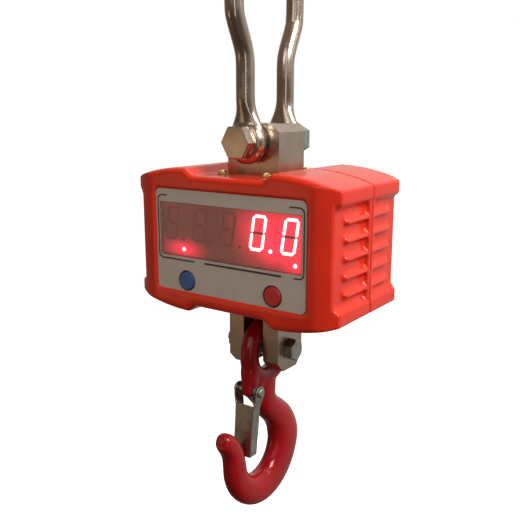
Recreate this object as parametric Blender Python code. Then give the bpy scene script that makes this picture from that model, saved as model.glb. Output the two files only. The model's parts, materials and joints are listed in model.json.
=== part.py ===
"""Crane scale: an electronic weighing scale that hangs from a bow shackle and carries a load on an eye hook.

Metres, +Z up, front (display) towards -Y. The origin is the inside top of the shackle bow, where it hangs.
"""

import math

import bmesh
import bpy
from mathutils import Matrix, Vector

# ---------------------------------------------------------------- driving dimensions
# Running gap between pieces that touch, and clearance of pieces that move on each other.
TOUCH = 0.0003
SLACK = 0.0008

# Load cell: one steel bar through the casing, with the shackle bolt above and the hook slot below.
CELL_WIDTH = 0.055
CELL_DEPTH = 0.040
CELL_BELOW_CASE = 0.0625
CELL_TOP_CHAMFER = (0.0081, 0.0070)
CELL_BOTTOM_CHAMFER = (0.0091, 0.0095)
PIN_ABOVE_BOTTOM = 0.0190
GAUGE_POCKET_RADIUS = 0.016
GAUGE_POCKET_DEPTH = 0.012

# Shackle: a round bar bent to a bow, with a forged eye on each leg.
BOW_INSIDE_HEIGHT = 0.160
BOW_FLARE = 0.015
BAR_RADIUS = 0.008
LEG_STRAIGHT = 0.066
FLARE_HEIGHT = 0.045
EYE_THICKNESS = 0.015
LEG_OUTSIDE_EYE = 0.0022
BOLT_SIZE = 0.016
WASHER_THICKNESS = 0.003
BOLT_TAIL = 0.008

# Casing: two cast covers that meet at a seam, arched shoulders, a flat floor between them.
CASE_WIDTH = 0.2138
CASE_DEPTH = 0.120
CASE_SHOULDER = 0.0653
FLOOR_DROP = 0.0063
FLOOR_BESIDE_CELL = 0.0095
FLOOR_SLOPE = 0.0090
SHOULDER_SIDE_DROP = 0.0107
CORNER_WIDTH = 0.0169
CORNER_DEPTH = 0.0083
FRONT_EDGE_RADIUS = 0.005
SIDE_RECESS = 0.0055
WALL = 0.0035
SEAM_Y = 0.002
SEAM_GAP = 0.0012
CELL_ABOVE_CASE = 0.0438
CELL_GAP = 0.0015

# Louvres cast on each side face.
LOUVRE_COUNT = 5
LOUVRE_HEIGHT = 0.0100
LOUVRE_RISE = 0.0046
LOUVRE_FROM_FRONT = 0.0185
LOUVRE_TAPER = 0.0030
SEAM_STRIP = 0.0040

# Label, window, buttons and the display behind them.
LABEL_SIDE_MARGIN = 0.0269
LABEL_TOP_MARGIN = 0.0193
LABEL_THICKNESS = 0.0008
LABEL_RECESS = 0.0020
LABEL_CORNER = 0.005
WINDOW_MARGIN = 0.0045
WINDOW_FROM_TOP = 0.0120
WINDOW_HEIGHT = 0.0480
WINDOW_THICKNESS = 0.0020
DIGIT_COUNT = 5
DIGIT_HEIGHT = 0.036
DIGIT_DEPTH = 0.0105
LAMP_RADIUS = 0.0025
LAMP_ABOVE_WINDOW_EDGE = 0.0063
BUTTON_RADIUS = 0.0085
BUTTON_ABOVE_LABEL_EDGE = 0.0105
BUTTON_TRAVEL = 0.0007
BOARD_THICKNESS = 0.0016

# Battery and its door at the rear.
BATTERY_SHORTER_THAN_CASE = 0.050
BATTERY_ROOM = 0.0085
DOOR_MARGIN = 0.0035
DOOR_THICKNESS = 0.0025

# Screws.
SCREW_RADIUS = 0.0020
SCREW_HEAD_RADIUS = 0.0042
SCREW_HEAD_HEIGHT = 0.0028
TOP_SCREW_FROM_CELL = 0.0130
COVER_SCREW_FROM_SIDE = 0.0174
COVER_SCREW_FROM_TOP = 0.0185
BOSS_RADIUS = 0.0050

# Hook, hanging on a sleeve over the lower bolt. Its outline lies in the plane X = 0.
PIN_SIZE = 0.012
SLEEVE_RADIUS = 0.011
HOOK_EYE_HOLE = 0.017
HOOK_EYE_BAR = 0.009
HOOK_NECK_LENGTH = 0.0628
HOOK_BOWL_INNER = 0.0245
HOOK_BOWL_THICKNESS = 0.0317
HOOK_BOWL_Y = -0.0140
HOOK_BOWL_SHIFT = (0.0082, -0.0005)
HOOK_THICKNESS = 0.0235
HOOK_TIP_HALF = 0.0106
LATCH_FROM_EYE = 0.0072
LATCH_ANGLE = 38.9
LATCH_LENGTH = 0.0585
LATCH_TIP_GAP = 0.00295
LATCH_SHEET = 0.0016
LATCH_EAR_RADIUS = 0.0078
LUG_HALF = 0.0055
RIVET_RADIUS = 0.003

# ---------------------------------------------------------------- derived sizes
BOLT_AF = 1.6875 * BOLT_SIZE
BOLT_HEAD = 0.625 * BOLT_SIZE
NUT_HEIGHT = 0.8 * BOLT_SIZE
EYE_RADIUS = 1.19 * BOLT_SIZE
PIN_AF = 1.5 * PIN_SIZE
PIN_HEAD = 0.625 * PIN_SIZE
PIN_NUT = 0.8 * PIN_SIZE
SLOT_WIDTH = 2 * HOOK_EYE_BAR + 0.004
HOOK_EYE_DROP = HOOK_EYE_HOLE - SLEEVE_RADIUS - TOUCH
HOOK_EYE_BOTTOM = -HOOK_EYE_DROP - HOOK_EYE_HOLE - 2 * HOOK_EYE_BAR
HOOK_DROP = HOOK_NECK_LENGTH - HOOK_EYE_BOTTOM
LATCH_REACH = HOOK_EYE_HOLE + 2 * HOOK_EYE_BAR + LATCH_FROM_EYE
LATCH_PIVOT = (
    -LATCH_REACH * math.sin(math.radians(LATCH_ANGLE)),
    -HOOK_EYE_DROP - LATCH_REACH * math.cos(math.radians(LATCH_ANGLE)),
)
HOOK_BOWL_OUTER = HOOK_BOWL_INNER + HOOK_BOWL_THICKNESS
HOOK_TIP_MIDDLE = HOOK_BOWL_Y + (HOOK_BOWL_SHIFT[0] - HOOK_BOWL_INNER - HOOK_BOWL_OUTER) / 2
HOOK_TIP_FACE = HOOK_TIP_MIDDLE - 0.0025 + HOOK_TIP_HALF
CASE_FLOOR = CASE_SHOULDER - FLOOR_DROP
FLOOR_HALF_WIDTH = CELL_WIDTH / 2 + FLOOR_BESIDE_CELL
SHOULDER_START = FLOOR_HALF_WIDTH + FLOOR_SLOPE
SHOULDER_RUN = CASE_WIDTH / 2 - SHOULDER_START
SHOULDER_ARC_RADIUS = (SHOULDER_RUN**2 + SHOULDER_SIDE_DROP**2) / (2 * SHOULDER_SIDE_DROP)
CELL_HEIGHT = CELL_ABOVE_CASE + 2 * CASE_FLOOR + CELL_BELOW_CASE
FRONT_HALF_WIDTH = CASE_WIDTH / 2 - CORNER_WIDTH
FLANGE_LOW = 0.674 * CASE_SHOULDER
LOUVRE_TOP = 0.53 * CASE_SHOULDER
LOUVRE_PITCH = 0.23 * CASE_SHOULDER
LOUVRE_FRONT = CASE_DEPTH / 2 - LOUVRE_FROM_FRONT
LABEL_WIDTH = CASE_WIDTH - 2 * LABEL_SIDE_MARGIN
LABEL_HEIGHT = 2 * (CASE_SHOULDER - LABEL_TOP_MARGIN)
WINDOW_WIDTH = LABEL_WIDTH - 2 * WINDOW_MARGIN
WINDOW_HIGH = LABEL_HEIGHT / 2 - WINDOW_FROM_TOP
WINDOW_LOW = WINDOW_HIGH - WINDOW_HEIGHT
DIGIT_PITCH = WINDOW_WIDTH / (DIGIT_COUNT - 0.19)
DIGIT_WIDTH = 0.882 * DIGIT_PITCH
DIGIT_CENTRE_Z = WINDOW_HIGH - 0.019
LAMP_Z = WINDOW_LOW + LAMP_ABOVE_WINDOW_EDGE
LAMP_PLACES = {"stable_lamp": (-0.3125 * LABEL_WIDTH, LAMP_Z), "unit_lamp": (0.425 * LABEL_WIDTH, LAMP_Z)}
BUTTON_Z = BUTTON_ABOVE_LABEL_EDGE - LABEL_HEIGHT / 2
BUTTON_PLACES = {"zero_button": (-0.28 * LABEL_WIDTH, BUTTON_Z), "power_button": (0.30 * LABEL_WIDTH, BUTTON_Z)}
BATTERY_DEPTH = CASE_DEPTH - BATTERY_SHORTER_THAN_CASE
TOP_SCREW = (0.85 * CELL_WIDTH / 2, CELL_DEPTH / 2 + TOP_SCREW_FROM_CELL)

# ---------------------------------------------------------------- derived places
BOLT_Z = -BOW_INSIDE_HEIGHT
CELL_TOP_Z = BOLT_Z + 0.9625 * BOLT_SIZE
CELL_BOTTOM_Z = CELL_TOP_Z - CELL_HEIGHT
PIN_Z = CELL_BOTTOM_Z + PIN_ABOVE_BOTTOM
CASE_Z = CELL_TOP_Z - CELL_ABOVE_CASE - CASE_FLOOR
FRONT_Y = -CASE_DEPTH / 2
REAR_Y = CASE_DEPTH / 2
HALF_WIDTH = CASE_WIDTH / 2
RECESS_X = HALF_WIDTH - SIDE_RECESS
FRONT_SEAM = SEAM_Y - SEAM_GAP / 2
REAR_SEAM = SEAM_Y + SEAM_GAP / 2
EYE_INNER_Y = CELL_DEPTH / 2 + SLACK
EYE_OUTER_Y = EYE_INNER_Y + EYE_THICKNESS
LEG_Y = EYE_INNER_Y + EYE_THICKNESS / 2 + LEG_OUTSIDE_EYE
BOW_HALF_WIDTH = LEG_Y + BOW_FLARE
HOOK_EYE_Z = PIN_Z - HOOK_EYE_DROP
SLOT_ROOF_Z = PIN_Z + HOOK_EYE_HOLE + 2 * HOOK_EYE_BAR + 0.009
POCKET_FLOOR_Y = FRONT_Y + LABEL_RECESS
LABEL_BACK_Y = POCKET_FLOOR_Y - TOUCH
LABEL_FRONT_Y = LABEL_BACK_Y - LABEL_THICKNESS
WALL_INNER_Y = POCKET_FLOOR_Y + 0.003
DIGIT_FRONT_Y = WALL_INNER_Y + TOUCH
BOARD_FRONT_Y = DIGIT_FRONT_Y + DIGIT_DEPTH + TOUCH
COVER_SCREW = (HALF_WIDTH - COVER_SCREW_FROM_SIDE, CASE_SHOULDER - COVER_SCREW_FROM_TOP)
MAIN_BOARD_Y = REAR_Y - 0.026
MAIN_BOARD_LEFT = -HALF_WIDTH + 0.022
MAIN_BOARD_RIGHT = -CELL_WIDTH / 2 - 0.008
REAR_BOSS_RADIUS = SCREW_HEAD_RADIUS * 1.12 + 0.002
BATTERY_LEFT = CELL_WIDTH / 2 + CELL_GAP + 0.005
BATTERY_RIGHT = COVER_SCREW[0] - REAR_BOSS_RADIUS - 0.001
BATTERY_HEIGHT = 2 * (CASE_FLOOR - BATTERY_ROOM)
BATTERY_SIZE = (BATTERY_RIGHT - BATTERY_LEFT, BATTERY_DEPTH, BATTERY_HEIGHT)
BATTERY_X = (BATTERY_LEFT + BATTERY_RIGHT) / 2
BATTERY_Y = REAR_Y - 0.010 - BATTERY_DEPTH / 2

COLOURS = {
    "enamel": ((0.72, 0.065, 0.025), 0.28, 0.0),
    "crimson": ((0.52, 0.012, 0.015), 0.25, 0.0),
    "steel": ((0.50, 0.47, 0.42), 0.32, 1.0),
    "polished": ((0.60, 0.56, 0.50), 0.18, 1.0),
    "zinc": ((0.55, 0.56, 0.53), 0.35, 1.0),
    "yellow_zinc": ((0.70, 0.55, 0.22), 0.30, 1.0),
    "rubber": ((0.02, 0.02, 0.02), 0.75, 0.0),
    "label": ((0.62, 0.58, 0.54), 0.35, 0.0),
    "window": ((0.25, 0.01, 0.015), 0.10, 0.0),
    "digit": ((0.10, 0.09, 0.09), 0.60, 0.0),
    "lamp": ((0.85, 0.05, 0.03), 0.20, 0.0),
    "blue": ((0.03, 0.12, 0.50), 0.35, 0.0),
    "red": ((0.60, 0.02, 0.03), 0.35, 0.0),
    "board": ((0.02, 0.22, 0.08), 0.50, 0.0),
    "black": ((0.03, 0.03, 0.03), 0.50, 0.0),
    "grey": ((0.35, 0.36, 0.38), 0.50, 0.0),
}


# ---------------------------------------------------------------- modelling helpers
def clear_scene():
    for obj in list(bpy.data.objects):
        bpy.data.objects.remove(obj)


def material(name, colour):
    base, roughness, metallic = COLOURS[colour]
    mat = bpy.data.materials.new(name)
    mat.use_nodes = True
    shader = mat.node_tree.nodes["Principled BSDF"]
    shader.inputs["Base Color"].default_value = (*base, 1.0)
    shader.inputs["Roughness"].default_value = roughness
    shader.inputs["Metallic"].default_value = metallic
    return mat


def piece(name, bm, colour, origin=(0, 0, 0), sharp=35):
    """A mesh object of the closed shape in bm, with its own material and its origin at the given point."""
    bmesh.ops.remove_doubles(bm, verts=bm.verts, dist=1e-7)
    bmesh.ops.translate(bm, verts=bm.verts, vec=-Vector(origin))
    bmesh.ops.recalc_face_normals(bm, faces=bm.faces)
    mesh = bpy.data.meshes.new(name)
    bm.to_mesh(mesh)
    bm.free()
    mesh.shade_smooth()
    mesh.set_sharp_from_angle(angle=math.radians(sharp))
    obj = bpy.data.objects.new(name, mesh)
    obj.location = origin
    bpy.context.scene.collection.objects.link(obj)
    mesh.materials.append(material(name, colour))
    return obj


def helper(bm, name="tool_shape"):
    """A shape that only cuts or joins another object."""
    obj = piece(name, bm, "grey")
    obj.hide_render = True
    obj.display_type = "WIRE"
    return obj


def combine(obj, operation, bm, name="tool_shape"):
    tool = helper(bm, name)
    modifier = obj.modifiers.new(operation.lower(), "BOOLEAN")
    modifier.operation = operation
    modifier.object = tool
    return obj


def cut(obj, bm):
    return combine(obj, "DIFFERENCE", bm)


def join(obj, bm):
    return combine(obj, "UNION", bm)


def loft(rings, bm=None, loop=False):
    """Skins a list of rings with the same number of points. A ring of one point is a tip."""
    bm = bm or bmesh.new()
    rows = [[bm.verts.new(p) for p in ring] for ring in rings]
    pairs = list(zip(rows, rows[1:])) + ([(rows[-1], rows[0])] if loop else [])
    for low, high in pairs:
        count = max(len(low), len(high))
        for i in range(count):
            j = (i + 1) % count
            corners = [low[i % len(low)], low[j % len(low)], high[j % len(high)], high[i % len(high)]]
            unique = list(dict.fromkeys(corners))
            bm.faces.new(unique)
    if not loop:
        for row in (rows[0], rows[-1]):
            if len(row) > 2:
                bm.faces.new(row)
    return bm


def box(low, high, bm=None):
    corners = [(low[0], low[1]), (high[0], low[1]), (high[0], high[1]), (low[0], high[1])]
    return loft([[(x, y, z) for x, y in corners] for z in (low[2], high[2])], bm)


def along(axis, first, second, third):
    """A point from its two coordinates across an axis and one along it."""
    if axis == "X":
        return (third, first, second)
    if axis == "Y":
        return (first, third, second)
    return (first, second, third)


def prism(outline, axis, low, high, bm=None):
    return loft([[along(axis, a, b, t) for a, b in outline] for t in (low, high)], bm)


def rounded_rectangle(width, height, radius, centre=(0, 0), steps=4):
    points = []
    for corner, (sx, sy) in enumerate([(1, 1), (-1, 1), (-1, -1), (1, -1)]):
        for k in range(steps + 1):
            angle = math.radians(90 * corner + 90 * k / steps)
            x = centre[0] + sx * (width / 2 - radius) + radius * math.cos(angle)
            y = centre[1] + sy * (height / 2 - radius) + radius * math.sin(angle)
            points.append((x, y))
    return points


def turned(profile, axis, centre, sides=16, loop=False, bm=None):
    """Turns a profile of (radius, place along the axis, hex or round) about an axis through centre."""
    rings = []
    for radius, place, *kind in profile:
        if radius == 0:
            rings.append([along(axis, centre[0], centre[1], place)])
            continue
        ring = []
        for k in range(sides):
            angle = 2 * math.pi * k / sides
            reach = radius
            if kind:
                reach = radius / math.cos((angle + math.pi / 6) % (math.pi / 3) - math.pi / 6)
            ring.append(along(axis, centre[0] + reach * math.cos(angle), centre[1] + reach * math.sin(angle), place))
        rings.append(ring)
    return loft(rings, bm, loop)


def rod(axis, centre, radius, low, high, sides=16, bm=None):
    return turned([(radius, low), (radius, high)], axis, centre, sides, bm=bm)


def ring_of(axis, centre, inner, outer, low, high, sides=16, hexagonal=False):
    kind = ["hex"] if hexagonal else []
    profile = [(inner, low), (outer, low, *kind), (outer, high, *kind), (inner, high)]
    return turned(profile, axis, centre, sides, loop=True)


def hex_bolt(axis, centre, size, across_flats, head, under_head, tail, direction, sides=24):
    """Head beyond under_head on the direction side, shank running back to tail."""
    chamfer = 0.07 * across_flats * 0.5
    top = under_head + direction * head
    profile = [
        (across_flats / 2 * 0.97, top),
        (across_flats / 2, top - direction * chamfer, "hex"),
        (across_flats / 2, under_head, "hex"),
        (size / 2, under_head),
        (size / 2, tail + direction * size * 0.08),
        (size / 2 * 0.84, tail),
    ]
    return turned(profile, axis, centre, sides)


def pan_screw(axis, centre, seat, direction, length, sides=12):
    """A screw whose head sits on seat and points along direction, with its washer in one piece."""
    washer = SCREW_HEAD_RADIUS * 1.12
    step = direction * SCREW_HEAD_HEIGHT
    profile = [
        (SCREW_HEAD_RADIUS * 0.62, seat + step * 1.25),
        (SCREW_HEAD_RADIUS * 0.92, seat + step * 0.95),
        (SCREW_HEAD_RADIUS, seat + step * 0.35),
        (washer, seat + step * 0.3),
        (washer, seat),
        (SCREW_RADIUS, seat),
        (SCREW_RADIUS, seat - direction * length),
    ]
    return turned(profile, axis, centre, sides)


def countersunk(axis, centre, surface, grow, above, length, sides=12):
    """A countersunk screw flush with surface, or its hole when it is grown and reaches above."""
    profile = [
        (SCREW_HEAD_RADIUS + grow, surface + above),
        (SCREW_HEAD_RADIUS + grow, surface - 0.0004),
        (SCREW_RADIUS + grow, surface - 0.0004 - SCREW_HEAD_RADIUS + SCREW_RADIUS),
        (SCREW_RADIUS + grow, surface - length),
    ]
    return turned(profile, axis, centre, sides)


def smooth_path(points, steps):
    """Catmull-Rom curve through rows of any length, with the given steps between rows."""
    rows = [points[0], *points, points[-1]]
    out = []
    for i in range(1, len(rows) - 2):
        for k in range(steps):
            t = k / steps
            out.append(tuple(
                0.5 * (2 * b + (c - a) * t + (2 * a - 5 * b + 4 * c - d) * t**2 + (3 * b - a - 3 * c + d) * t**3)
                for a, b, c, d in zip(rows[i - 1], rows[i], rows[i + 1], rows[i + 2])
            ))
    out.append(tuple(points[-1]))
    return out


def sweep(rows, sides):
    """Skins an oval section along rows of (y, z, half size in the YZ plane, half size along X)."""
    rings = []
    for i, (y, z, deep, wide) in enumerate(rows):
        before, after = rows[max(i - 1, 0)], rows[min(i + 1, len(rows) - 1)]
        run = Vector((after[0] - before[0], after[1] - before[1])).normalized()
        normal = Vector((-run.y, run.x))
        ring = []
        for k in range(sides):
            angle = 2 * math.pi * k / sides
            side = deep * math.cos(angle)
            ring.append((wide * math.sin(angle), y + side * normal.x, z + side * normal.y))
        rings.append(ring)
    return loft(rings)


def wire(name, points, radius, colour, origin=(0, 0, 0), resolution=1):
    """A round wire along points, with filled ends."""
    curve = bpy.data.curves.new(name, "CURVE")
    curve.dimensions = "3D"
    curve.bevel_depth = radius
    curve.bevel_resolution = resolution
    curve.use_fill_caps = True
    spline = curve.splines.new("POLY")
    spline.points.add(len(points) - 1)
    for target, point in zip(spline.points, points):
        target.co = (*(Vector(point) - Vector(origin)), 1.0)
    obj = bpy.data.objects.new(name, curve)
    obj.location = origin
    bpy.context.scene.collection.objects.link(obj)
    curve.materials.append(material(name, colour))
    return obj


# ---------------------------------------------------------------- shackle
def shackle_rows():
    """Centreline of the bar from the front eye over the bow to the rear eye."""
    eye_y = (EYE_INNER_Y + EYE_OUTER_Y) / 2
    flat = EYE_THICKNESS / 2 - SLACK
    leg = [
        (-eye_y, BOLT_Z + BOLT_SIZE * 0.75, flat, EYE_RADIUS * 0.82),
        (-eye_y, BOLT_Z + EYE_RADIUS, flat, EYE_RADIUS * 0.66),
        (-eye_y - (LEG_Y - eye_y) * 0.4, BOLT_Z + EYE_RADIUS * 1.4, (flat + BAR_RADIUS) / 2, EYE_RADIUS * 0.5),
        (-LEG_Y, BOLT_Z + EYE_RADIUS * 1.8, BAR_RADIUS, BAR_RADIUS),
    ]
    start = BOLT_Z + LEG_STRAIGHT
    steps = 7
    for k in range(steps + 1):
        t = k / steps
        ease = t * t * (3 - 2 * t)
        y = -LEG_Y - (BOW_HALF_WIDTH - LEG_Y) * ease
        leg.append((y, start + FLARE_HEIGHT * t, BAR_RADIUS, BAR_RADIUS))
    centre_z = BAR_RADIUS - BOW_HALF_WIDTH
    arc_steps = 16
    bow = []
    for k in range(arc_steps + 1):
        angle = math.pi * (1 - k / arc_steps)
        bow.append((
            BOW_HALF_WIDTH * math.cos(angle),
            centre_z + BOW_HALF_WIDTH * math.sin(angle),
            BAR_RADIUS,
            BAR_RADIUS,
        ))
    return leg + bow + [(-y, z, deep, wide) for y, z, deep, wide in reversed(leg)]


def eye_disc(side):
    """A forged eye with a rounded rim and its bolt hole."""
    hole = BOLT_SIZE / 2 + TOUCH
    inner, outer = sorted((side * EYE_INNER_Y, side * EYE_OUTER_Y))
    rim = EYE_THICKNESS * 0.3
    profile = [(hole, inner), (EYE_RADIUS - rim, inner)]
    for k in range(1, 4):
        angle = math.radians(-90 + 45 * k)
        middle = (inner + outer) / 2
        profile.append((
            EYE_RADIUS - rim + rim * math.cos(angle),
            middle + (EYE_THICKNESS / 2) * math.sin(angle),
        ))
    profile += [(EYE_RADIUS - rim, outer), (hole, outer)]
    return turned(profile, "Y", (0, BOLT_Z), 28, loop=True)


def make_shackle():
    obj = piece("shackle", sweep(shackle_rows(), 14), "polished")
    join(obj, eye_disc(-1))
    join(obj, eye_disc(1))
    cut(obj, rod("Y", (0, BOLT_Z), BOLT_SIZE / 2 + TOUCH, -CASE_DEPTH / 2, CASE_DEPTH / 2, 24))


def make_shackle_bolt():
    seat = -EYE_OUTER_Y - TOUCH
    washer_low = EYE_OUTER_Y + TOUCH
    nut_low = washer_low + WASHER_THICKNESS + TOUCH
    tail = nut_low + NUT_HEIGHT + BOLT_TAIL
    centre = (0, BOLT_Z)
    pin_y = nut_low + NUT_HEIGHT + BOLT_TAIL * 0.45
    pin_radius = 0.0014
    bolt = piece("shackle_bolt", hex_bolt("Y", centre, BOLT_SIZE, BOLT_AF, BOLT_HEAD, seat, tail, -1), "polished")
    cut(bolt, rod("Z", (0, pin_y), pin_radius + TOUCH, BOLT_Z - BOLT_SIZE, BOLT_Z + BOLT_SIZE, 10))
    bore = BOLT_SIZE / 2 + TOUCH
    piece(
        "shackle_washer",
        ring_of("Y", centre, bore, BOLT_AF / 2 + 0.003, washer_low, washer_low + WASHER_THICKNESS, 24),
        "zinc",
    )
    piece("shackle_nut", ring_of("Y", centre, bore, BOLT_AF / 2, nut_low, nut_low + NUT_HEIGHT, 24, True), "zinc")
    leg = BOLT_SIZE / 2 + 0.004
    points = [(0, pin_y, BOLT_Z + leg)]
    points += [(0, pin_y, BOLT_Z - leg), (0, pin_y + 0.003, BOLT_Z - leg - 0.003)]
    pin = wire("shackle_split_pin", points, pin_radius, "zinc", resolution=2)
    pin.data.use_fill_caps = True


# ---------------------------------------------------------------- load cell
def make_load_cell():
    half, slot = CELL_WIDTH / 2, SLOT_WIDTH / 2
    chamfer_x, chamfer_z = CELL_TOP_CHAMFER
    right = [
        (slot, SLOT_ROOF_Z),
        (slot, CELL_BOTTOM_Z),
        (half, CELL_BOTTOM_Z),
        (half, CELL_TOP_Z - chamfer_z),
        (half - chamfer_x, CELL_TOP_Z),
    ]
    outline = right + [(-x, z) for x, z in reversed(right)]
    bm = prism(outline, "Y", -CELL_DEPTH / 2, CELL_DEPTH / 2)
    bmesh.ops.recalc_face_normals(bm, faces=bm.faces)
    cell = piece("load_cell", bm, "steel")
    back, rise = CELL_BOTTOM_CHAMFER
    for side in (-1, 1):
        edge = side * CELL_DEPTH / 2
        wedge = [
            (edge - side * back, CELL_BOTTOM_Z),
            (edge, CELL_BOTTOM_Z + rise),
            (edge + side * rise, CELL_BOTTOM_Z + rise + rise * rise / back),
            (edge + side * rise, CELL_BOTTOM_Z - rise),
            (edge - side * back - side * rise * 0.5, CELL_BOTTOM_Z - rise * rise / back * 0.5),
        ]
        cut(cell, prism(wedge, "X", -CELL_WIDTH, CELL_WIDTH))
        pocket = sorted((edge - side * GAUGE_POCKET_DEPTH, edge + side * GAUGE_POCKET_DEPTH))
        cut(cell, rod("Y", (0, CASE_Z), GAUGE_POCKET_RADIUS, *pocket, 28))
    cut(cell, rod("Y", (0, BOLT_Z), BOLT_SIZE / 2 + TOUCH, -CELL_DEPTH, CELL_DEPTH, 24))
    cut(cell, rod("X", (0, PIN_Z), PIN_SIZE / 2 + TOUCH, -CELL_WIDTH, CELL_WIDTH, 20))


def make_gauge_covers():
    """Discs that close the strain gauge pockets."""
    radius = GAUGE_POCKET_RADIUS - TOUCH
    for name, side in (("gauge_cover_front", -1), ("gauge_cover_rear", 1)):
        face = side * CELL_DEPTH / 2
        low, high = sorted((face, face - side * 0.0025))
        piece(name, rod("Y", (0, CASE_Z), radius, low, high, 28), "zinc")


# ---------------------------------------------------------------- casing
def side_limit(y):
    """Half width of the casing at a depth: the corners are cut at a slant."""
    from_face = min(y - FRONT_Y, REAR_Y - y)
    slant = (HALF_WIDTH - FRONT_HALF_WIDTH) / CORNER_DEPTH
    return min(HALF_WIDTH, FRONT_HALF_WIDTH + slant * max(from_face, 0))


def shoulder_z(x):
    """Height of the arched shoulder above the casing's middle."""
    run = max(x - SHOULDER_START, 0)
    return CASE_SHOULDER - (SHOULDER_ARC_RADIUS - math.sqrt(SHOULDER_ARC_RADIUS**2 - run**2))


def case_quarter(y):
    """Upper right quarter of the casing's outline at depth y, from the floor round to the side."""
    limit = side_limit(y)
    recess = min(RECESS_X, limit)
    arc = [SHOULDER_START + (limit - SHOULDER_START) * k / 5 for k in range(6)]
    points = [(FLOOR_HALF_WIDTH, CASE_FLOOR)]
    points += [(x, shoulder_z(x)) for x in arc]
    points += [(limit, FLANGE_LOW), (recess, FLANGE_LOW - SIDE_RECESS)]
    return points


def inset(points, distance):
    """Moves each corner of a closed outline inwards by distance, keeping its sides parallel."""
    area = sum(a[0] * b[1] - b[0] * a[1] for a, b in zip(points, points[1:] + points[:1]))
    turn = 1 if area > 0 else -1
    out = []
    for i, here in enumerate(points):
        before, after = Vector(points[i - 1]), Vector(points[(i + 1) % len(points)])
        first = (Vector(here) - before).normalized()
        second = (after - Vector(here)).normalized()
        normal_a = Vector((-first.y, first.x)) * turn
        normal_b = Vector((-second.y, second.x)) * turn
        middle = (normal_a + normal_b).normalized()
        reach = distance / max(middle.dot(normal_a), 0.3)
        out.append((here[0] + middle.x * reach, here[1] + middle.y * reach))
    return out


def case_ring(y, distance=0.0, outline_y=None):
    quarter = case_quarter(y if outline_y is None else outline_y)
    upper = quarter + []
    lower = [(x, -z) for x, z in reversed(quarter)]
    right = upper + lower
    outline = right + [(-x, -z) for x, z in right]
    points = inset(outline, distance) if distance else outline
    return [(x, y, CASE_Z + z) for x, z in points]


def cover(name, side):
    """One half of the casing as a single skin: outside, rim at the seam, inside."""
    face = side * CASE_DEPTH / 2
    seam = FRONT_SEAM if side < 0 else REAR_SEAM
    rings = []
    steps = 4
    for k in range(steps + 1):
        angle = math.radians(90 * k / steps)
        y = face - side * FRONT_EDGE_RADIUS * (1 - math.cos(angle))
        rings.append(case_ring(y, FRONT_EDGE_RADIUS * (1 - math.sin(angle))))
    notch = CORNER_DEPTH * (RECESS_X - FRONT_HALF_WIDTH) / (HALF_WIDTH - FRONT_HALF_WIDTH)
    rings.append(case_ring(face - side * notch))
    rings.append(case_ring(face - side * CORNER_DEPTH))
    rings.append(case_ring(seam))
    rings.append(case_ring(seam, WALL))
    rings.append(case_ring(face - side * (CORNER_DEPTH + WALL), WALL))
    inner_face = WALL_INNER_Y if side < 0 else face - side * WALL
    rings.append(case_ring(inner_face, WALL))
    return piece(name, loft(rings), "enamel", sharp=28)


def louvre(x_side, y_side, top):
    """One louvre: a hipped bar that stands on the recessed side and runs into the seam strip."""
    floor = RECESS_X - WALL * 0.4
    crest = RECESS_X + LOUVRE_RISE
    start = y_side * LOUVRE_FRONT
    end = SEAM_Y + y_side * SEAM_STRIP * 0.6
    taper = -y_side * LOUVRE_TAPER
    low = top - LOUVRE_HEIGHT
    crest_high = top - LOUVRE_HEIGHT * 0.56
    crest_low = top - LOUVRE_HEIGHT * 0.68
    lean = (crest - floor) / LOUVRE_RISE
    rings = []
    for y, shrink in ((start, 0.0), (start + taper * lean, 1.0), (end, 1.0)):
        reach = floor + (crest - floor) * max(shrink, 0.02)
        rings.append([
            (x_side * floor, y, CASE_Z + top + (lean - 1) * 0.001),
            (x_side * reach, y, CASE_Z + crest_high),
            (x_side * reach, y, CASE_Z + crest_low),
            (x_side * floor, y, CASE_Z + low - (lean - 1) * 0.001),
        ])
    return loft(rings)


def add_side_relief(obj, y_side):
    """Seam strip and louvres on both sides of a cover."""
    for x_side in (-1, 1):
        near = FRONT_SEAM if y_side < 0 else REAR_SEAM
        far = near + y_side * SEAM_STRIP
        xs = sorted((x_side * (RECESS_X - WALL * 0.5), x_side * (RECESS_X + LOUVRE_RISE)))
        ys = sorted((near, far))
        reach = FLANGE_LOW - SIDE_RECESS * 0.1
        join(obj, box((xs[0], ys[0], CASE_Z - reach), (xs[1], ys[1], CASE_Z + reach)))
        for k in range(LOUVRE_COUNT):
            join(obj, louvre(x_side, y_side, LOUVRE_TOP - k * LOUVRE_PITCH))


def cell_opening():
    """The opening for the load cell through the top and bottom of the casing."""
    half_x, half_y = CELL_WIDTH / 2 + CELL_GAP, CELL_DEPTH / 2 + CELL_GAP
    reach = CASE_SHOULDER
    return box((-half_x, -half_y, CASE_Z - reach), (half_x, half_y, CASE_Z + reach))


def screw_holes(y_side):
    """Clearance holes for the screws that hold a cover to its brackets."""
    shapes = []
    hole = SCREW_RADIUS + TOUCH
    for x_side in (-1, 1):
        place = (x_side * TOP_SCREW[0], y_side * TOP_SCREW[1])
        shapes.append(rod("Z", place, hole, CASE_Z + CASE_FLOOR - 2 * WALL, CASE_Z + CASE_SHOULDER, 12))
    return shapes


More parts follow.
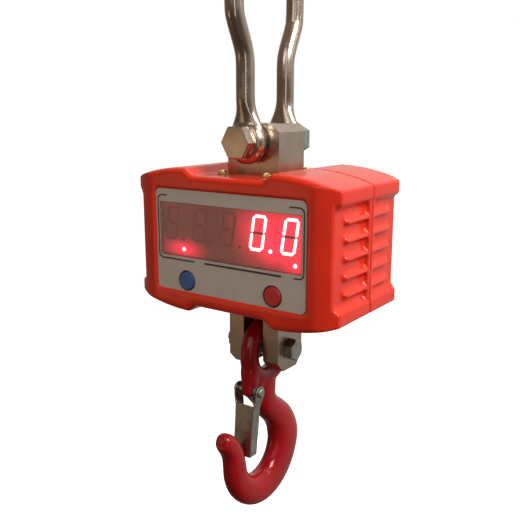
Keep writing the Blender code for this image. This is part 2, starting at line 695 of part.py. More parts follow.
def make_front_cover():
    obj = cover("front_cover", -1)
    add_side_relief(obj, -1)
    pocket = rounded_rectangle(
        LABEL_WIDTH + 4 * TOUCH, LABEL_HEIGHT + 4 * TOUCH, LABEL_CORNER, (0, CASE_Z)
    )
    cut(obj, prism(pocket, "Y", FRONT_Y - WALL, POCKET_FLOOR_Y))
    half = WINDOW_WIDTH / 2 + TOUCH
    low, high = CASE_Z + WINDOW_LOW - TOUCH, CASE_Z + WINDOW_HIGH + TOUCH
    cut(obj, box((-half, FRONT_Y, low), (half, FRONT_Y + 3 * WALL, high)))
    for x, z in BUTTON_PLACES.values():
        cut(obj, rod("Y", (x, CASE_Z + z), BUTTON_RADIUS + TOUCH, FRONT_Y, FRONT_Y + 3 * WALL, 24))
    cut(obj, cell_opening())
    for shape in screw_holes(-1):
        cut(obj, shape)
    for sx in (-1, 1):
        for sz in (-1, 1):
            place = (sx * COVER_SCREW[0], CASE_Z + sz * COVER_SCREW[1])
            join(obj, rod("Y", place, BOSS_RADIUS, WALL_INNER_Y - WALL * 0.4, FRONT_SEAM - SLACK, 16))
            cut(obj, rod("Y", place, SCREW_RADIUS + TOUCH, -0.025, SEAM_Y + WALL, 12))


def make_rear_cover():
    obj = cover("rear_cover", 1)
    add_side_relief(obj, 1)
    cut(obj, cell_opening())
    for shape in screw_holes(1):
        cut(obj, shape)
    for sx in (-1, 1):
        for sz in (-1, 1):
            place = (sx * COVER_SCREW[0], CASE_Z + sz * COVER_SCREW[1])
            join(obj, rod("Y", place, REAR_BOSS_RADIUS, REAR_SEAM + SLACK, REAR_Y - WALL * 0.9, 16))
            cut(obj, rod("Y", place, SCREW_RADIUS + TOUCH, SEAM_Y, REAR_Y + WALL, 12))
            sink = SCREW_HEAD_RADIUS * 1.12 + TOUCH
            cut(obj, rod("Y", place, sink, REAR_Y - 0.0045, REAR_Y + WALL, 16))
    width = BATTERY_SIZE[0] + 2 * DOOR_MARGIN
    height = BATTERY_SIZE[2] + DOOR_MARGIN
    low = (BATTERY_X - width / 2, REAR_Y - DOOR_THICKNESS - TOUCH, CASE_Z - height / 2)
    high = (BATTERY_X + width / 2, REAR_Y + WALL, CASE_Z + height / 2)
    cut(obj, box(low, high))
    inner = BATTERY_SIZE[0] / 2 - 0.002
    tall = BATTERY_SIZE[2] / 2 - 0.009
    cut(obj, box(
        (BATTERY_X - inner, REAR_Y - 3 * WALL, CASE_Z - tall),
        (BATTERY_X + inner, REAR_Y + WALL, CASE_Z + tall),
    ))
    for sz in (-1, 1):
        place = (BATTERY_X, CASE_Z + sz * (tall + 0.005))
        cut(obj, rod("Y", place, SCREW_RADIUS + TOUCH, REAR_Y - 3 * WALL, REAR_Y + WALL, 12))
    cut(obj, rod("Y", SOCKET_PLACE, SOCKET_RADIUS + TOUCH, REAR_Y - 3 * WALL, REAR_Y + WALL, 20))
    rim = SOCKET_RADIUS + SOCKET_RIM + TOUCH
    cut(obj, rod("Y", SOCKET_PLACE, rim, REAR_Y - SOCKET_RIM - TOUCH, REAR_Y + WALL, 20))


def make_cover_seals():
    """Rubber cords between the rims of the covers, one on each side of the load cell."""
    thickness = SEAM_GAP - 2 * TOUCH
    low, high = SEAM_Y - thickness / 2, SEAM_Y + thickness / 2
    outer = case_ring(SEAM_Y, 0.0010)
    inner = case_ring(SEAM_Y, WALL - 0.0004)
    rings = [[(x, y, z) for x, _, z in ring] for ring, y in (
        (outer, low), (outer, high), (inner, high), (inner, low)
    )]
    near = CELL_WIDTH / 2 + CELL_GAP + TOUCH
    for name, side in (("cover_seal_left", -1), ("cover_seal_right", 1)):
        seal = piece(name, loft(rings, loop=True), "rubber")
        xs = sorted((side * near, -side * CASE_WIDTH))
        cut(seal, box((xs[0], -CELL_DEPTH, CASE_Z - CASE_WIDTH), (xs[1], CELL_DEPTH, CASE_Z + CASE_WIDTH)))


def make_cell_seals():
    """Rubber frames that close the gap between the load cell and the casing."""
    low_x, low_y = CELL_WIDTH / 2 + TOUCH, CELL_DEPTH / 2 + TOUCH
    high_x, high_y = CELL_WIDTH / 2 + CELL_GAP - TOUCH, CELL_DEPTH / 2 + CELL_GAP - TOUCH
    for name, side in (("top_seal", 1), ("bottom_seal", -1)):
        outside = CASE_Z + side * (CASE_FLOOR - 0.0008)
        inside = CASE_Z + side * (CASE_FLOOR - WALL - 0.001)
        low, high = sorted((inside, outside))
        outer = rounded_rectangle(2 * high_x, 2 * high_y, 0.0006, steps=2)
        inner = rounded_rectangle(2 * low_x, 2 * low_y, 0.0002, steps=2)
        rings = [[(x, y, z) for x, y in ring] for ring, z in (
            (outer, low), (outer, high), (inner, high), (inner, low)
        )]
        piece(name, loft(rings, loop=True), "rubber")


def make_brackets():
    """Angle brackets between the load cell and the top of each cover, and the screws that hold them."""
    inner_z = CASE_Z + CASE_FLOOR - WALL - TOUCH
    thickness = 0.003
    for name, side in (("bracket_front", -1), ("bracket_rear", 1)):
        near = CELL_DEPTH / 2 + CELL_GAP + TOUCH
        far = TOP_SCREW[1] + 0.008
        outline = [
            (side * near, inner_z - 0.022),
            (side * near, inner_z),
            (side * far, inner_z),
            (side * far, inner_z - thickness),
            (side * (near + thickness), inner_z - thickness),
            (side * (near + thickness), inner_z - 0.022),
        ]
        half = TOP_SCREW[0] + 0.007
        obj = piece(name, prism(outline, "X", -half, half), "zinc")
        for x_side in (-1, 1):
            place = (x_side * TOP_SCREW[0], side * TOP_SCREW[1])
            cut(obj, rod("Z", place, SCREW_RADIUS + TOUCH, inner_z - 0.01, inner_z + 0.01, 12))
    number = 1
    for side in (-1, 1):
        for x_side in (-1, 1):
            place = (x_side * TOP_SCREW[0], side * TOP_SCREW[1])
            seat = CASE_Z + CASE_FLOOR + TOUCH
            piece(f"top_screw_{number}", pan_screw("Z", place, seat, 1, 0.013), "yellow_zinc")
            number += 1


def make_cover_screws():
    number = 1
    for sz in (1, -1):
        for sx in (-1, 1):
            place = (sx * COVER_SCREW[0], CASE_Z + sz * COVER_SCREW[1])
            seat = REAR_Y - 0.0045 + TOUCH
            bm = pan_screw("Y", place, seat, 1, seat + 0.022)
            piece(f"cover_screw_{number}", bm, "zinc")
            number += 1


# ---------------------------------------------------------------- label, window, display, buttons
def make_label():
    outline = rounded_rectangle(LABEL_WIDTH, LABEL_HEIGHT, LABEL_CORNER, (0, CASE_Z))
    obj = piece("label_panel", prism(outline, "Y", LABEL_FRONT_Y, LABEL_BACK_Y), "label")
    half = WINDOW_WIDTH / 2 + TOUCH
    low, high = CASE_Z + WINDOW_LOW - TOUCH, CASE_Z + WINDOW_HIGH + TOUCH
    cut(obj, box((-half, LABEL_FRONT_Y - WALL, low), (half, LABEL_BACK_Y + WALL, high)))
    for x, z in BUTTON_PLACES.values():
        hole = BUTTON_RADIUS + TOUCH
        cut(obj, rod("Y", (x, CASE_Z + z), hole, LABEL_FRONT_Y - WALL, LABEL_BACK_Y + WALL, 24))


def make_window():
    half = WINDOW_WIDTH / 2
    low, high = CASE_Z + WINDOW_LOW, CASE_Z + WINDOW_HIGH
    bm = box((-half, LABEL_FRONT_Y, low), (half, LABEL_FRONT_Y + WINDOW_THICKNESS, high))
    piece("display_window", bm, "window")


def make_display():
    z = CASE_Z + DIGIT_CENTRE_Z
    for k in range(DIGIT_COUNT):
        x = (k - (DIGIT_COUNT - 1) / 2) * DIGIT_PITCH
        low = (x - DIGIT_WIDTH / 2, DIGIT_FRONT_Y, z - DIGIT_HEIGHT / 2)
        high = (x + DIGIT_WIDTH / 2, DIGIT_FRONT_Y + DIGIT_DEPTH, z + DIGIT_HEIGHT / 2)
        piece(f"led_digit_{k + 1}", box(low, high), "digit")
    for name, (x, z) in LAMP_PLACES.items():
        base = BOARD_FRONT_Y - TOUCH
        profile = [
            (0, DIGIT_FRONT_Y),
            (LAMP_RADIUS * 0.7, DIGIT_FRONT_Y + LAMP_RADIUS * 0.3),
            (LAMP_RADIUS, DIGIT_FRONT_Y + LAMP_RADIUS),
            (LAMP_RADIUS, base),
        ]
        piece(name, turned(profile, "Y", (x, CASE_Z + z), 12), "lamp")
    low = (-LABEL_WIDTH / 2 + 0.001, BOARD_FRONT_Y, CASE_Z - LABEL_HEIGHT / 2 + 0.002)
    high = (LABEL_WIDTH / 2 - 0.001, BOARD_FRONT_Y + BOARD_THICKNESS, CASE_Z + LABEL_HEIGHT / 2 - 0.005)
    piece("display_board", box(low, high), "board")


def make_buttons():
    """Push buttons behind the label, each with a retaining flange and a stem over its switch."""
    face = LABEL_FRONT_Y - 0.0008
    flange = WALL_INNER_Y + TOUCH
    stem_end = BOARD_FRONT_Y - 0.0042
    colours = {"zero_button": "blue", "power_button": "red"}
    for name, (x, z) in BUTTON_PLACES.items():
        centre = (x, CASE_Z + z)
        profile = [
            (BUTTON_RADIUS - 0.0008, face),
            (BUTTON_RADIUS - TOUCH, face + 0.0006),
            (BUTTON_RADIUS - TOUCH, flange),
            (BUTTON_RADIUS + 0.0013, flange),
            (BUTTON_RADIUS + 0.0013, flange + 0.0012),
            (0.0025, flange + 0.0012),
            (0.0025, stem_end),
        ]
        piece(name, turned(profile, "Y", centre, 24), colours[name], (x, face, centre[1]))
        top = stem_end + BUTTON_TRAVEL + TOUCH
        half = 0.006
        low = (x - half, top, centre[1] - half)
        high = (x + half, BOARD_FRONT_Y - TOUCH, centre[1] + half)
        piece(name.replace("button", "switch"), box(low, high), "black")


# ---------------------------------------------------------------- electronics and battery
SOCKET_RADIUS = 0.006
SOCKET_RIM = 0.0015
SOCKET_PLACE = (-0.56 * HALF_WIDTH, CASE_Z - 0.62 * CASE_FLOOR)


def make_main_board():
    y = MAIN_BOARD_Y
    width = MAIN_BOARD_RIGHT - MAIN_BOARD_LEFT
    low = (MAIN_BOARD_LEFT, y, CASE_Z - 0.025)
    high = (MAIN_BOARD_RIGHT, y + BOARD_THICKNESS, CASE_Z + 0.042)
    obj = piece("main_board", box(low, high), "board")
    # Place and size of each component as shares of the board's width, then height, size and depth.
    parts = [(0.32, 0.36, 0.022, 0.018, 0.004), (0.62, 0.24, -0.010, 0.022, 0.009)]
    parts += [(0.84, 0.20, 0.030, 0.010, 0.012)]
    for place, share, z, height, depth in parts:
        x = MAIN_BOARD_LEFT + place * width
        join(obj, box(
            (x - share * width / 2, y - depth, CASE_Z + z - height / 2),
            (x + share * width / 2, y + BOARD_THICKNESS / 2, CASE_Z + z + height / 2),
        ))
    for number, z in ((1, -0.020), (2, 0.037)):
        x = MAIN_BOARD_LEFT + 0.0052
        hole = SCREW_RADIUS + TOUCH
        cut(obj, rod("Y", (x, CASE_Z + z), hole, y - 0.01, y + 0.01, 12))
        bm = pan_screw("Y", (x, CASE_Z + z), y - TOUCH, -1, 0.012)
        piece(f"board_screw_{number}", bm, "zinc")
        far = REAR_Y - WALL - TOUCH
        near = y + BOARD_THICKNESS + TOUCH
        post = ring_of("Y", (x, CASE_Z + z), hole, BOSS_RADIUS * 0.9, near, far, 12)
        piece(f"board_spacer_{number}", post, "zinc")


def make_battery():
    sx, sy, sz = BATTERY_SIZE
    low = (BATTERY_X - sx / 2, BATTERY_Y - sy / 2, CASE_Z - sz / 2)
    high = (BATTERY_X + sx / 2, BATTERY_Y + sy / 2, CASE_Z + sz / 2)
    piece("battery", box(low, high), "grey")
    strap = 0.0012
    gap = TOUCH * 2
    outline_z = 0.008
    outer = [(low[0] - gap - strap, low[1] - gap - strap), (high[0] + gap + strap, low[1] - gap - strap)]
    outer += [(high[0] + gap + strap, high[1]), (high[0] + gap, high[1])]
    outer += [(high[0] + gap, low[1] - gap), (low[0] - gap, low[1] - gap)]
    outer += [(low[0] - gap, high[1]), (low[0] - gap - strap, high[1])]
    piece("battery_clamp", prism(outer, "Z", CASE_Z - outline_z, CASE_Z + outline_z), "zinc")
    width = sx + 2 * DOOR_MARGIN - 2 * TOUCH
    height = sz + DOOR_MARGIN - 2 * TOUCH
    door_low = (BATTERY_X - width / 2, REAR_Y - DOOR_THICKNESS, CASE_Z - height / 2)
    door_high = (BATTERY_X + width / 2, REAR_Y, CASE_Z + height / 2)
    door = piece("battery_door", box(door_low, door_high), "enamel")
    tall = sz / 2 - 0.009
    for number, side in ((1, 1), (2, -1)):
        place = (BATTERY_X, CASE_Z + side * (tall + 0.005))
        cut(door, countersunk("Y", place, REAR_Y, TOUCH, 0.001, 2 * WALL))
        piece(f"door_screw_{number}", countersunk("Y", place, REAR_Y, 0, 0, 0.009), "zinc")


def make_charge_socket():
    profile = [
        (0.0030, REAR_Y),
        (SOCKET_RADIUS + SOCKET_RIM, REAR_Y),
        (SOCKET_RADIUS + SOCKET_RIM, REAR_Y - SOCKET_RIM),
        (SOCKET_RADIUS, REAR_Y - SOCKET_RIM),
        (SOCKET_RADIUS, REAR_Y - 0.014),
        (0.0030, REAR_Y - 0.014),
    ]
    bm = turned(profile, "Y", SOCKET_PLACE, 20, loop=True)
    piece("charge_socket", bm, "black")


def make_cable():
    """Lead from the front gauge pocket round the load cell to the main board."""
    radius = 0.0020
    start_y = -CELL_DEPTH / 2 - 0.004
    end_y = MAIN_BOARD_Y - 2 * radius
    side_x = CELL_WIDTH / 2 + 2.5 * radius
    end_x = MAIN_BOARD_LEFT + 0.75 * (MAIN_BOARD_RIGHT - MAIN_BOARD_LEFT)
    points = [
        (-0.004, start_y, CASE_Z),
        (-side_x * 0.7, start_y - 0.002, CASE_Z + 0.001),
        (-side_x, start_y, CASE_Z + 0.003),
        (-side_x - 0.002, start_y * 0.6, CASE_Z + 0.006),
        (-side_x - 0.001, 0, CASE_Z + 0.010),
        (-side_x - 0.003, end_y * 0.5, CASE_Z + 0.012),
        (end_x, end_y - 0.004, CASE_Z + 0.011),
        (end_x - 0.001, end_y, CASE_Z + 0.010),
    ]
    wire("load_cell_cable", smooth_path(points, 5), radius, "black", resolution=2)


# ---------------------------------------------------------------- hook, its bolt and latch
def make_hook_bolt():
    centre = (0, PIN_Z)
    seat = CELL_WIDTH / 2 + TOUCH
    nut_low = -seat - PIN_NUT
    bolt = hex_bolt("X", centre, PIN_SIZE, PIN_AF, PIN_HEAD, seat, nut_low - 0.004, 1)
    piece("hook_bolt", bolt, "zinc", (0, 0, PIN_Z))
    bore = PIN_SIZE / 2 + TOUCH
    piece("hook_nut", ring_of("X", centre, bore, PIN_AF / 2, nut_low, -seat, 24, True), "zinc")
    half = SLOT_WIDTH / 2 - TOUCH
    piece("hook_sleeve", ring_of("X", centre, bore, SLEEVE_RADIUS, -half, half, 24), "steel")


def hook_rows():
    """Centreline of the hook below its eye: neck, bowl and tip, with the section's half sizes."""
    thick = HOOK_THICKNESS / 2
    bar = HOOK_EYE_BAR
    bowl_z = -HOOK_DROP
    top = HOOK_EYE_BOTTOM
    shift_y, shift_z = HOOK_BOWL_SHIFT
    rows = [
        (-0.0015, top + 0.0107, 0.0130, bar),
        (-0.0030, top - 0.0013, 0.0135, bar * 1.08),
        (-0.0030, top - 0.0133, 0.0128, bar * 1.16),
        (0.0040, top - 0.0243, 0.0130, thick * 0.93),
        (0.0150, top - 0.0343, 0.0143, thick * 0.97),
        (0.0245, top - 0.0463, 0.0168, thick),
    ]
    steps = 10
    for k in range(steps + 1):
        angle = -math.pi * k / steps
        inner = (HOOK_BOWL_Y + HOOK_BOWL_INNER * math.cos(angle), bowl_z + HOOK_BOWL_INNER * math.sin(angle))
        outer = (
            HOOK_BOWL_Y + shift_y + HOOK_BOWL_OUTER * math.cos(angle),
            bowl_z + shift_z + HOOK_BOWL_OUTER * math.sin(angle),
        )
        half = math.dist(inner, outer) / 2
        width = thick * (1 - 0.2 * max(0, (k / steps - 0.55)) / 0.45)
        rows.append(((inner[0] + outer[0]) / 2, (inner[1] + outer[1]) / 2, half, width))
    left_y = HOOK_TIP_MIDDLE
    rows += [
        (left_y - 0.0025, bowl_z + 0.0110, HOOK_TIP_HALF, thick * 0.74),
        (left_y - 0.0075, bowl_z + 0.0200, 0.0090, thick * 0.68),
        (left_y - 0.0145, bowl_z + 0.0275, 0.0068, thick * 0.58),
        (left_y - 0.0195, bowl_z + 0.0305, 0.0042, thick * 0.42),
    ]
    return [(y, PIN_Z + z, deep, wide) for y, z, deep, wide in smooth_path(rows, 2)]


def hook_eye():
    """The ring of the eye as a torus about the X direction."""
    rings = []
    around, sides = 28, 12
    mean = HOOK_EYE_HOLE + HOOK_EYE_BAR
    for k in range(around):
        turn = 2 * math.pi * (k + 0.5) / around
        ring = []
        for j in range(sides):
            angle = 2 * math.pi * j / sides
            reach = mean + HOOK_EYE_BAR * math.cos(angle)
            ring.append((
                HOOK_EYE_BAR * math.sin(angle),
                reach * math.cos(turn),
                HOOK_EYE_Z + reach * math.sin(turn),
            ))
        rings.append(ring)
    return loft(rings, loop=True)


def lug_outline():
    """The latch lug in front of the neck, from the eye's side round the rivet to the throat."""
    pivot_y, pivot_z = LATCH_PIVOT
    radius = LATCH_EAR_RADIUS - SLACK
    points = [(-0.0235, -0.0170), (pivot_y - radius, -0.0170)]
    for k in range(5):
        angle = math.radians(180 + 20 * k)
        points.append((pivot_y + radius * math.cos(angle), pivot_z + radius * math.sin(angle)))
    points += [(-0.0135, -0.0595), (-0.0010, -0.0600), (0.0020, -0.0400), (-0.0100, -0.0330)]
    return [(y, PIN_Z + z) for y, z in points]


def make_hook():
    obj = piece("hook", sweep(hook_rows(), 14), "crimson", (0, 0, PIN_Z))
    join(obj, hook_eye())
    join(obj, prism(lug_outline(), "X", -LUG_HALF, LUG_HALF))
    pivot = (LATCH_PIVOT[0], PIN_Z + LATCH_PIVOT[1])
    cut(obj, rod("X", pivot, RIVET_RADIUS + TOUCH, -CELL_WIDTH, CELL_WIDTH, 14))


def latch_ear_x():
    """Inner face of the latch's ears, outside the widest part of the neck."""
    return HOOK_EYE_BAR * 1.08 + 2 * SLACK


def make_latch():
    """Pressed sheet latch: a channel that closes the throat, with two ears on the rivet."""
    pivot_y, pivot_z = LATCH_PIVOT[0], PIN_Z + LATCH_PIVOT[1]
    sheet = LATCH_SHEET
    ear_x = latch_ear_x()
    top_front = pivot_y - 0.0072
    lean = top_front - HOOK_TIP_FACE - LATCH_TIP_GAP
    stations = []
    count = 6
    for k in range(count + 1):
        t = k / count
        drop = 0.0105 + (LATCH_LENGTH - 0.0105) * t
        front = top_front - lean * t
        half = 0.0076 + 0.0010 * t
        deep = 0.0085 + 0.0035 * t
        tail = 0.003 * t
        z = pivot_z - drop
        ring = [
            (-half, front, z), (half, front, z),
            (half, front + deep, z - tail), (half - sheet, front + deep, z - tail),
            (half - sheet, front + sheet, z), (-half + sheet, front + sheet, z),
            (-half + sheet, front + deep, z - tail), (-half, front + deep, z - tail),
        ]
        stations.append(ring)
    obj = piece("latch", loft(stations), "zinc", (0, pivot_y, pivot_z))
    radius = LATCH_EAR_RADIUS
    for side in (-1, 1):
        low_x = 0.0076 - sheet
        rows = [
            (low_x, -0.0150, -0.0072, -0.0025),
            (low_x, -0.0110, -0.0072, -0.0020),
            (ear_x, -0.0072, -0.0074, 0.0035),
            (ear_x, -0.0030, -0.0078, 0.0068),
        ]
        for k in range(5):
            angle = math.radians(-10 + 24 * k)
            reach = radius * math.cos(angle)
            rows.append((ear_x, radius * math.sin(angle), -max(reach, 0.002), max(reach, 0.002)))
        rings = []
        for x, z, front, rear in rows:
            xs = (side * x, side * (x + sheet))
            rings.append([
                (xs[0], pivot_y + front, pivot_z + z), (xs[1], pivot_y + front, pivot_z + z),
                (xs[1], pivot_y + rear, pivot_z + z), (xs[0], pivot_y + rear, pivot_z + z),
            ])
        join(obj, loft(rings))
    cut(obj, rod("X", (pivot_y, pivot_z), RIVET_RADIUS + TOUCH, -CELL_WIDTH, CELL_WIDTH, 14))


def make_rivet():
    outer = latch_ear_x() + LATCH_SHEET + TOUCH
    centre = (LATCH_PIVOT[0], PIN_Z + LATCH_PIVOT[1])
    head = RIVET_RADIUS * 1.6
    profile = [
        (head * 0.7, -outer - 0.0020),
        (head, -outer - 0.0010),
        (head, -outer),
        (RIVET_RADIUS, -outer),
        (RIVET_RADIUS, outer),
        (head, outer),
        (head, outer + 0.0010),
        (head * 0.7, outer + 0.0020),
    ]
    piece("latch_rivet", turned(profile, "X", centre, 14), "zinc")


def make_latch_spring():
    """Torsion spring on the rivet, between the lug and the ear, with one leg down the latch."""
    pivot_y, pivot_z = LATCH_PIVOT[0], PIN_Z + LATCH_PIVOT[1]
    thin = 0.0005
    coil = RIVET_RADIUS + 0.0014
    start_x = LUG_HALF + thin + TOUCH
    turns, steps = 3, 10
    pitch = (latch_ear_x() - thin - TOUCH - start_x) / turns
    points = [(start_x, pivot_y + coil, pivot_z + 0.006)]
    for k in range(turns * steps + 1):
        angle = -2 * math.pi * k / steps
        points.append((
            start_x + pitch * k / steps,
            pivot_y + coil * math.cos(angle),
            pivot_z + coil * math.sin(angle),
        ))
    last = points[-1]
    points[-1] = (last[0], last[1], last[2])
    points.append((last[0], pivot_y + coil * 0.6, pivot_z - 0.006))
    wire("latch_spring", points, thin, "zinc", (0, pivot_y, pivot_z))


def main():
    clear_scene()
    make_shackle()
    make_shackle_bolt()
    make_load_cell()
    make_gauge_covers()
    make_front_cover()
    make_rear_cover()
    make_cover_seals()
    make_cell_seals()
    make_brackets()
    make_cover_screws()
    make_label()
    make_window()
    make_display()
    make_buttons()
    make_main_board()
    make_battery()
    make_charge_socket()
    make_cable()
    make_hook_bolt()
    make_hook()
    make_latch()
    make_rivet()
    make_latch_spring()


main()
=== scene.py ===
"""Looks, light and camera of the crane scale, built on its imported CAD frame."""

import json
import math

import bmesh
import bpy
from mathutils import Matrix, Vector


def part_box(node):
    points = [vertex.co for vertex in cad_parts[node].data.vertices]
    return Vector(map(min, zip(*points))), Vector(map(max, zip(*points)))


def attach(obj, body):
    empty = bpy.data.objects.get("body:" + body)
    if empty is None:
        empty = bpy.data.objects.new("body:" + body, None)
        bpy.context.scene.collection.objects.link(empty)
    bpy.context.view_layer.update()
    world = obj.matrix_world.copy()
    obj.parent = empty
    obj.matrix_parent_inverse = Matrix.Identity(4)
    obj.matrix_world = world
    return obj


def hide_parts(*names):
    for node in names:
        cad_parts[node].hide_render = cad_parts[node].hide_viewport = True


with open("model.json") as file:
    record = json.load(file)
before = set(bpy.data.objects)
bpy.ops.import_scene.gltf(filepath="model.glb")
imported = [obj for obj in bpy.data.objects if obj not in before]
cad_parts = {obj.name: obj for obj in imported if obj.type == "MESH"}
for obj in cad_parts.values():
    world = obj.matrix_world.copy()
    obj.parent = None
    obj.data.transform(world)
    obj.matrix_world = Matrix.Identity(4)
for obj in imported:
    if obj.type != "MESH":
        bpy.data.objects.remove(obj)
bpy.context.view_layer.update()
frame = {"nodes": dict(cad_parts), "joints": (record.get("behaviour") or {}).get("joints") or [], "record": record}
nodes = frame["nodes"]

# ---------------------------------------------------------------- places read from the CAD
CASE_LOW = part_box("front_cover")[0]
CASE_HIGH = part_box("rear_cover")[1]
CASE_Z = (CASE_LOW.z + CASE_HIGH.z) / 2
LABEL_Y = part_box("label_panel")[0].y
WINDOW_LOW, WINDOW_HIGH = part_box("display_window")
DIGIT_FRONT_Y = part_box("led_digit_1")[0].y
JOINT_AT = {joint["name"]: joint.get("pos_m") for joint in frame["joints"]}
BOLT_Z = JOINT_AT["shackle_swing"][2]
PIN_Z = JOINT_AT["hook_swing"][2]
LATCH_AT = Vector(JOINT_AT["latch_pivot"])


# ---------------------------------------------------------------- mesh helpers
def add(name, bm, body, material, sharp=35):
    """A smooth shaded mesh object of bm that rides on body."""
    bmesh.ops.remove_doubles(bm, verts=bm.verts, dist=1e-7)
    bmesh.ops.recalc_face_normals(bm, faces=bm.faces)
    mesh = bpy.data.meshes.new(name)
    bm.to_mesh(mesh)
    bm.free()
    mesh.shade_smooth()
    mesh.set_sharp_from_angle(angle=math.radians(sharp))
    obj = bpy.data.objects.new(name, mesh)
    bpy.context.scene.collection.objects.link(obj)
    mesh.materials.append(material)
    if body:
        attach(obj, body)
    return obj


def loft(rings, bm=None, loop=False):
    """Skins rings of points and closes both ends, or joins the last ring to the first."""
    bm = bm or bmesh.new()
    rows = [[bm.verts.new(p) for p in ring] for ring in rings]
    pairs = list(zip(rows, rows[1:])) + ([(rows[-1], rows[0])] if loop else [])
    for low, high in pairs:
        count = max(len(low), len(high))
        for i in range(count):
            j = (i + 1) % count
            corners = [
                low[i % len(low)], low[j % len(low)],
                high[j % len(high)], high[i % len(high)],
            ]
            bm.faces.new(list(dict.fromkeys(corners)))
    if not loop:
        for row in (rows[0], rows[-1]):
            if len(row) > 2:
                bm.faces.new(row)
    return bm


def along(axis, first, second, third):
    """The point at third along axis, and at first and second across it."""
    if axis == "X":
        return (third, first, second)
    if axis == "Y":
        return (first, third, second)
    return (first, second, third)


def turned(profile, axis, centre, sides=48, loop=False, bm=None):
    """A turned shape of rows (radius, place along axis), with its axis through centre."""
    rings = []
    for radius, place in profile:
        if radius == 0:
            rings.append([along(axis, centre[0], centre[1], place)])
            continue
        rings.append([
            along(
                axis,
                centre[0] + radius * math.cos(2 * math.pi * k / sides),
                centre[1] + radius * math.sin(2 * math.pi * k / sides),
                place,
            )
            for k in range(sides)
        ])
    return loft(rings, bm, loop)


def prism(outline, axis, low, high, bm=None):
    """The outline pulled straight along axis from low to high."""
    return loft([[along(axis, a, b, t) for a, b in outline] for t in (low, high)], bm)


def box(low, high):
    outline = [(low[0], low[1]), (high[0], low[1]), (high[0], high[1]), (low[0], high[1])]
    return prism(outline, "Z", low[2], high[2])


def smooth_path(points, steps):
    """Catmull-Rom curve through rows of any length."""
    rows = [points[0], *points, points[-1]]
    out = []
    for i in range(1, len(rows) - 2):
        for k in range(steps):
            t = k / steps
            out.append(tuple(
                0.5 * (
                    2 * b + (c - a) * t + (2 * a - 5 * b + 4 * c - d) * t**2
                    + (3 * b - a - 3 * c + d) * t**3
                )
                for a, b, c, d in zip(rows[i - 1], rows[i], rows[i + 1], rows[i + 2])
            ))
    out.append(tuple(points[-1]))
    return out


def sweep(rows, sides=40, power=1.0, bm=None):
    """Skins an oval along rows of (y, z, half size in the YZ plane, half size along X).

    A power below 1 makes the oval squarer.
    """
    rings = []
    for i, (y, z, deep, wide) in enumerate(rows):
        before, after = rows[max(i - 1, 0)], rows[min(i + 1, len(rows) - 1)]
        run = Vector((after[0] - before[0], after[1] - before[1])).normalized()
        normal = Vector((-run.y, run.x))
        ring = []
        for k in range(sides):
            angle = 2 * math.pi * k / sides
            c, s = math.cos(angle), math.sin(angle)
            side = deep * math.copysign(abs(c) ** power, c)
            ring.append((
                wide * math.copysign(abs(s) ** power, s),
                y + side * normal.x,
                z + side * normal.y,
            ))
        rings.append(ring)
    return loft(rings, bm)


def apply_modifiers(obj):
    """Replaces the object's mesh by the evaluated one."""
    graph = bpy.context.evaluated_depsgraph_get()
    mesh = bpy.data.meshes.new_from_object(obj.evaluated_get(graph))
    obj.modifiers.clear()
    obj.data = mesh


def fuse(obj, voxel, rounds, keep=0.5):
    """Melts overlapping shapes of one object together, rounds their joints, thins the mesh."""
    remesh = obj.modifiers.new("fuse", "REMESH")
    remesh.mode = "VOXEL"
    remesh.voxel_size = voxel
    remesh.use_smooth_shade = True
    smooth = obj.modifiers.new("round", "SMOOTH")
    smooth.factor = 0.5
    smooth.iterations = rounds
    thin = obj.modifiers.new("thin", "DECIMATE")
    thin.ratio = keep


def bevel(obj, width):
    """Rounds the sharp edges of a node."""
    modifier = obj.modifiers.new("edge", "BEVEL")
    modifier.width = width
    modifier.segments = 2
    modifier.limit_method = "ANGLE"
    modifier.angle_limit = math.radians(30)
    modifier.harden_normals = False


def cut(obj, tool_mesh):
    """Cuts the shape of tool_mesh out of obj's own mesh."""
    tool = add("cutting_tool", tool_mesh, None, obj.data.materials[0])
    hole = obj.modifiers.new("hole", "BOOLEAN")
    hole.operation = "DIFFERENCE"
    hole.object = tool
    apply_modifiers(obj)
    bpy.data.objects.remove(tool)


